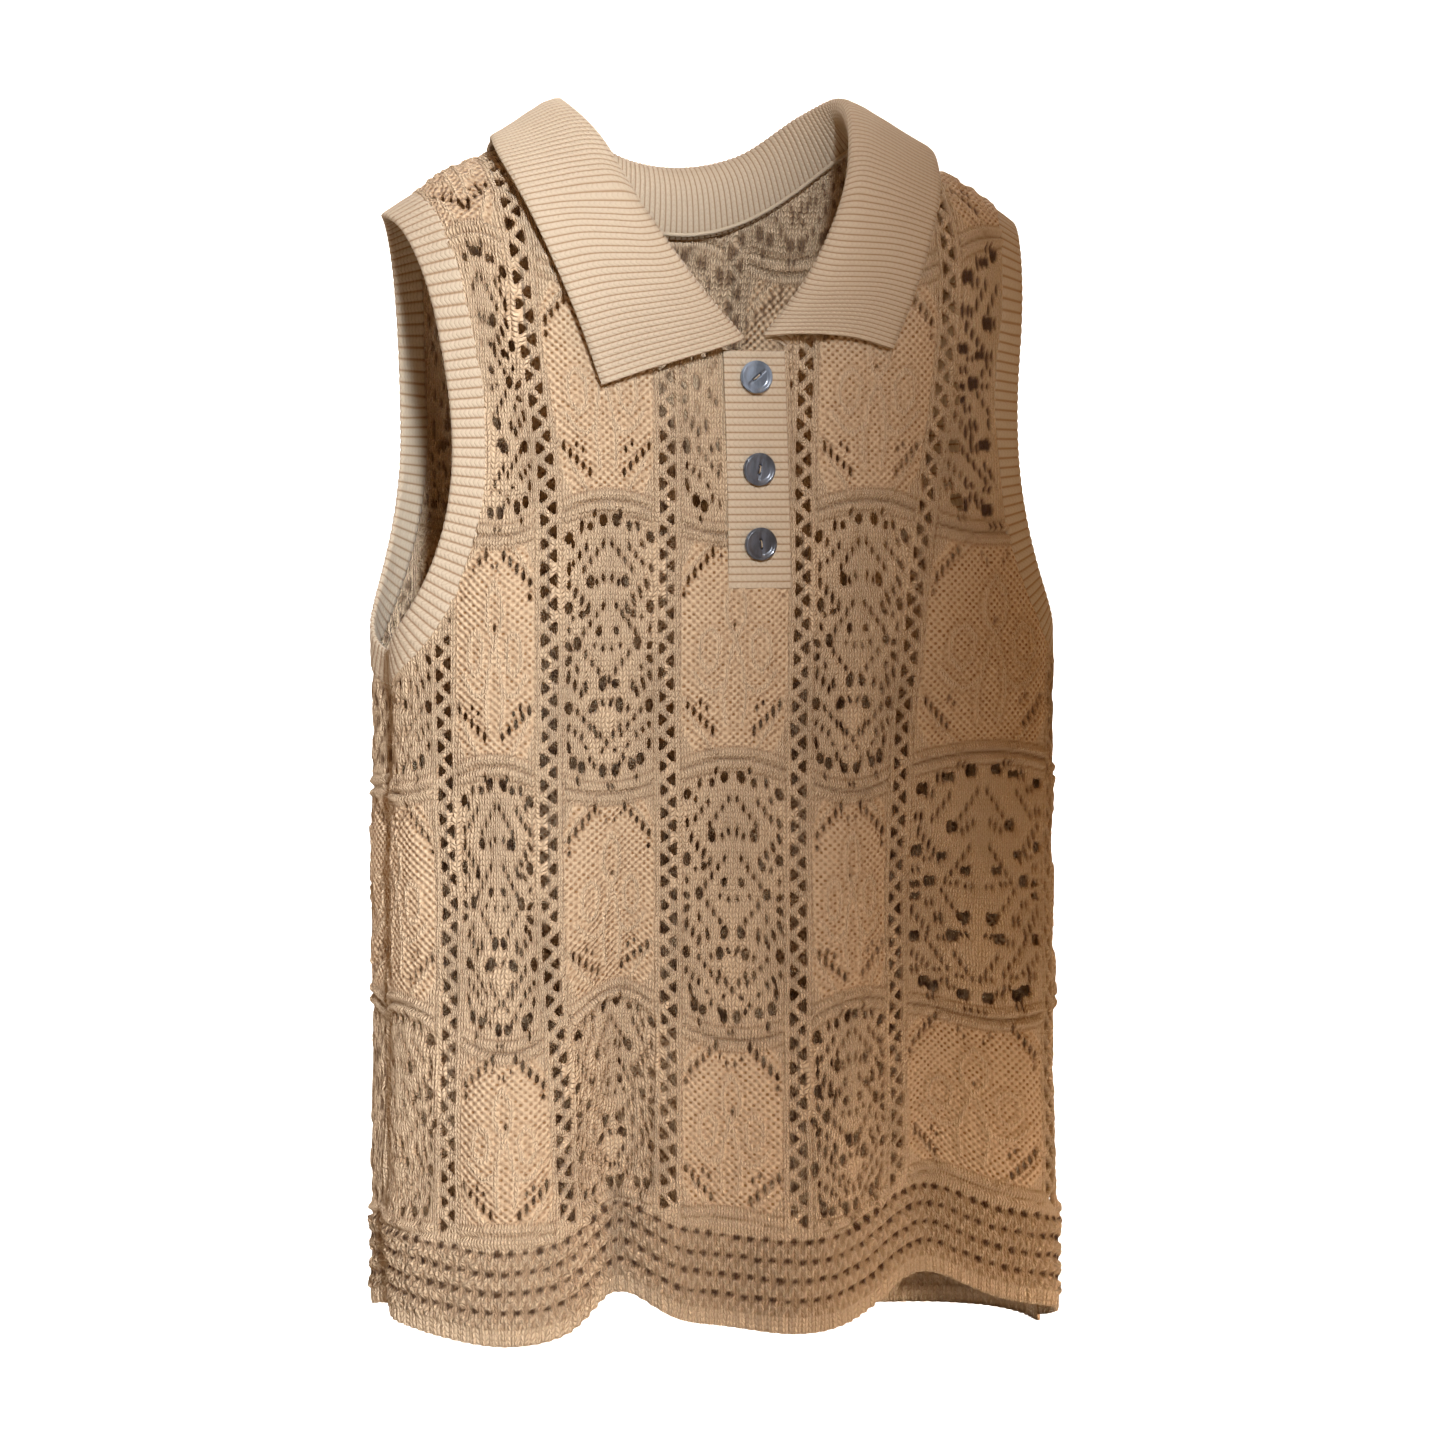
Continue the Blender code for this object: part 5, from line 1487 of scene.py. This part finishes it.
VIEW_AZIMUTH, VIEW_ELEVATION = -16.7, 3.0
VIEW_TARGET = (0.0066, 0.0, -0.261)
VIEW_DISTANCE = 2.5
VIEW_FRAME = 0.677
FLOOR_DROP = 0.160
SWEEP_FROM, SWEEP_RADIUS = 1.2, 1.6
SWEEP_FRONT, SWEEP_TOP, SWEEP_SIDE = -5.0, 6.0, 7.0
FLOOR_COLOUR = (0.90, 0.90, 0.90, 1.0)
AMBIENT = (0.330, 0.165, 0.052, 1.0)
LIGHTS = (
    # name, place, aim, size, spread in radians, power, colour
    ("top", (0.10, -0.85, 1.05), (0.0, 0.0, -0.10), 0.40, math.pi, 1.4, (1.0, 0.66, 0.34)),
    ("fill", (1.4, -1.6, -0.10), (0.05, 0.0, -0.30), 1.2, math.pi, 1.8, (1.0, 0.52, 0.16)),
    ("low", (1.1, -1.8, -0.60), (0.100, 0.0, -0.630), 0.3, 0.28, 0.45, (1.0, 0.84, 0.74)),
    ("behind", (0.9, 1.9, 0.9), (0.0, 0.0, -0.26), 1.2, math.pi, 20.0, (1.0, 0.97, 0.93)),
    ("wall", (0.0, 0.9, 2.6), (0.0, 2.8, 0.2), 2.5, 1.3, 80.0, (1.0, 1.0, 1.0)),
    ("floor", (0.0, 1.5, 1.3), (0.0, 1.3, -0.7), 1.8, 1.6, 14.0, (1.0, 1.0, 1.0)),
)
# The key is a tall narrow beam on the left of the front, which fades towards the right
KEY_PLACE, KEY_TARGET = (-0.36, -2.00, 0.40), (-0.172, -0.03, -0.300)
KEY_SIZE, KEY_BEAM, KEY_POWER = (0.12, 1.40), 0.28, 2.55
KEY_LEAN = math.radians(-12)  # its top leans to the right
KEY_COLOUR = (0.92, 1.0, 1.15)


def add_camera():
    """The photograph's angle and framing."""
    a, e = math.radians(VIEW_AZIMUTH), math.radians(VIEW_ELEVATION)
    back = Vector((math.sin(a) * math.cos(e), -math.cos(a) * math.cos(e), math.sin(e)))
    data = bpy.data.cameras.new("camera")
    data.sensor_width = 36.0
    data.lens = 36.0 * VIEW_DISTANCE / VIEW_FRAME
    camera = bpy.data.objects.new("camera", data)
    camera.location = Vector(VIEW_TARGET) + back * VIEW_DISTANCE
    camera.rotation_euler = (-back).to_track_quat("-Z", "Y").to_euler()
    bpy.context.scene.collection.objects.link(camera)
    bpy.context.scene.camera = camera


def add_light(name, place_at, target, size, spread, power, colour):
    data = bpy.data.lights.new(name, "AREA")
    data.size, data.spread, data.energy, data.color = size, spread, power, colour
    light = bpy.data.objects.new(name, data)
    light.location = place_at
    light.rotation_euler = (Vector(target) - Vector(place_at)).to_track_quat("-Z", "Y").to_euler()
    bpy.context.scene.collection.objects.link(light)
    return light


def add_sweep(low):
    """A plain pale floor that curves up into a backdrop, so that no horizon shows."""
    turn = np.linspace(0, math.pi / 2, 25)
    curve_y, curve_z = SWEEP_FROM + SWEEP_RADIUS * np.sin(turn), SWEEP_RADIUS * (1 - np.cos(turn))
    y = np.concatenate([[SWEEP_FRONT], curve_y, [SWEEP_FROM + SWEEP_RADIUS]])
    z = np.concatenate([[0.0], curve_z, [SWEEP_TOP]]) + low - FLOOR_DROP
    points = np.array([(x, b, c) for b, c in zip(y, z) for x in (-SWEEP_SIDE, SWEEP_SIDE)])
    faces = np.array([(2 * i, 2 * i + 1, 2 * i + 3, 2 * i + 2) for i in range(len(y) - 1)])
    mesh, _ = fast_mesh("floor", points, [faces])
    floor = bpy.data.objects.new("floor", mesh)
    mesh.materials.append(floor_material())
    bpy.context.scene.collection.objects.link(floor)
    floor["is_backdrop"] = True


def add_world():
    """White to the camera, and a low warm light to everything else."""
    world = bpy.data.worlds.new("studio")
    world.use_nodes = True
    tree = world.node_tree
    path = tree.nodes.new("ShaderNodeLightPath")
    colour = tree.nodes.new("ShaderNodeMix")
    colour.data_type = "RGBA"
    colour.inputs[6].default_value = AMBIENT
    colour.inputs[7].default_value = (1.0, 1.0, 1.0, 1.0)
    tree.links.new(path.outputs["Is Camera Ray"], colour.inputs[0])
    tree.links.new(colour.outputs[2], tree.nodes["Background"].inputs[0])
    tree.nodes["Background"].inputs[1].default_value = 1.0
    bpy.context.scene.world = world


def add_key():
    """A soft beam, brightest at the upper left, which fades out towards the right."""
    light = add_light("key", KEY_PLACE, KEY_TARGET, KEY_SIZE[0], KEY_BEAM, KEY_POWER, KEY_COLOUR)
    light.rotation_euler = (light.rotation_euler.to_quaternion() @ Quaternion((0, 0, 1), KEY_LEAN)).to_euler()
    light.data.shape = "RECTANGLE"
    light.data.size_y = KEY_SIZE[1]


def add_stage(low):
    """The floor, and soft studio light that is brightest from the left."""
    add_sweep(low)
    add_world()
    add_key()
    for light in LIGHTS:
        add_light(*light)
    bpy.context.scene.view_settings.view_transform = "Standard"


def clear_scene():
    for old in list(bpy.data.objects):
        bpy.data.objects.remove(old, do_unlink=True)


def main():
    clear_scene()
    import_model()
    solid_box = [list(map(float, corner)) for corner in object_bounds()]
    lace, rib = lace_material(), rib_material()
    lace_panel(FRONT, "front_lace", "front_panel", lace)
    lace_panel(BACK, "back_lace", "back_panel", lace)
    armhole_band("armhole_band_right_knit", RIGHT, rib)
    armhole_band("armhole_band_left_knit", LEFT, rib)
    seam = collar(rib)
    tube("neck_linking", seam[::3], LINKING_RADIUS, rib, "rib_knit")
    placket_strip("placket_upper_knit", 1, rib)
    placket_strip("placket_under_knit", -1, rib)
    for name, h, turn, blue in BUTTONS:
        button(name, h, turn, horn_material(f"horn_{name}", blue), rib)
    add_stage(solid_box[0][2])
    add_camera()


main()
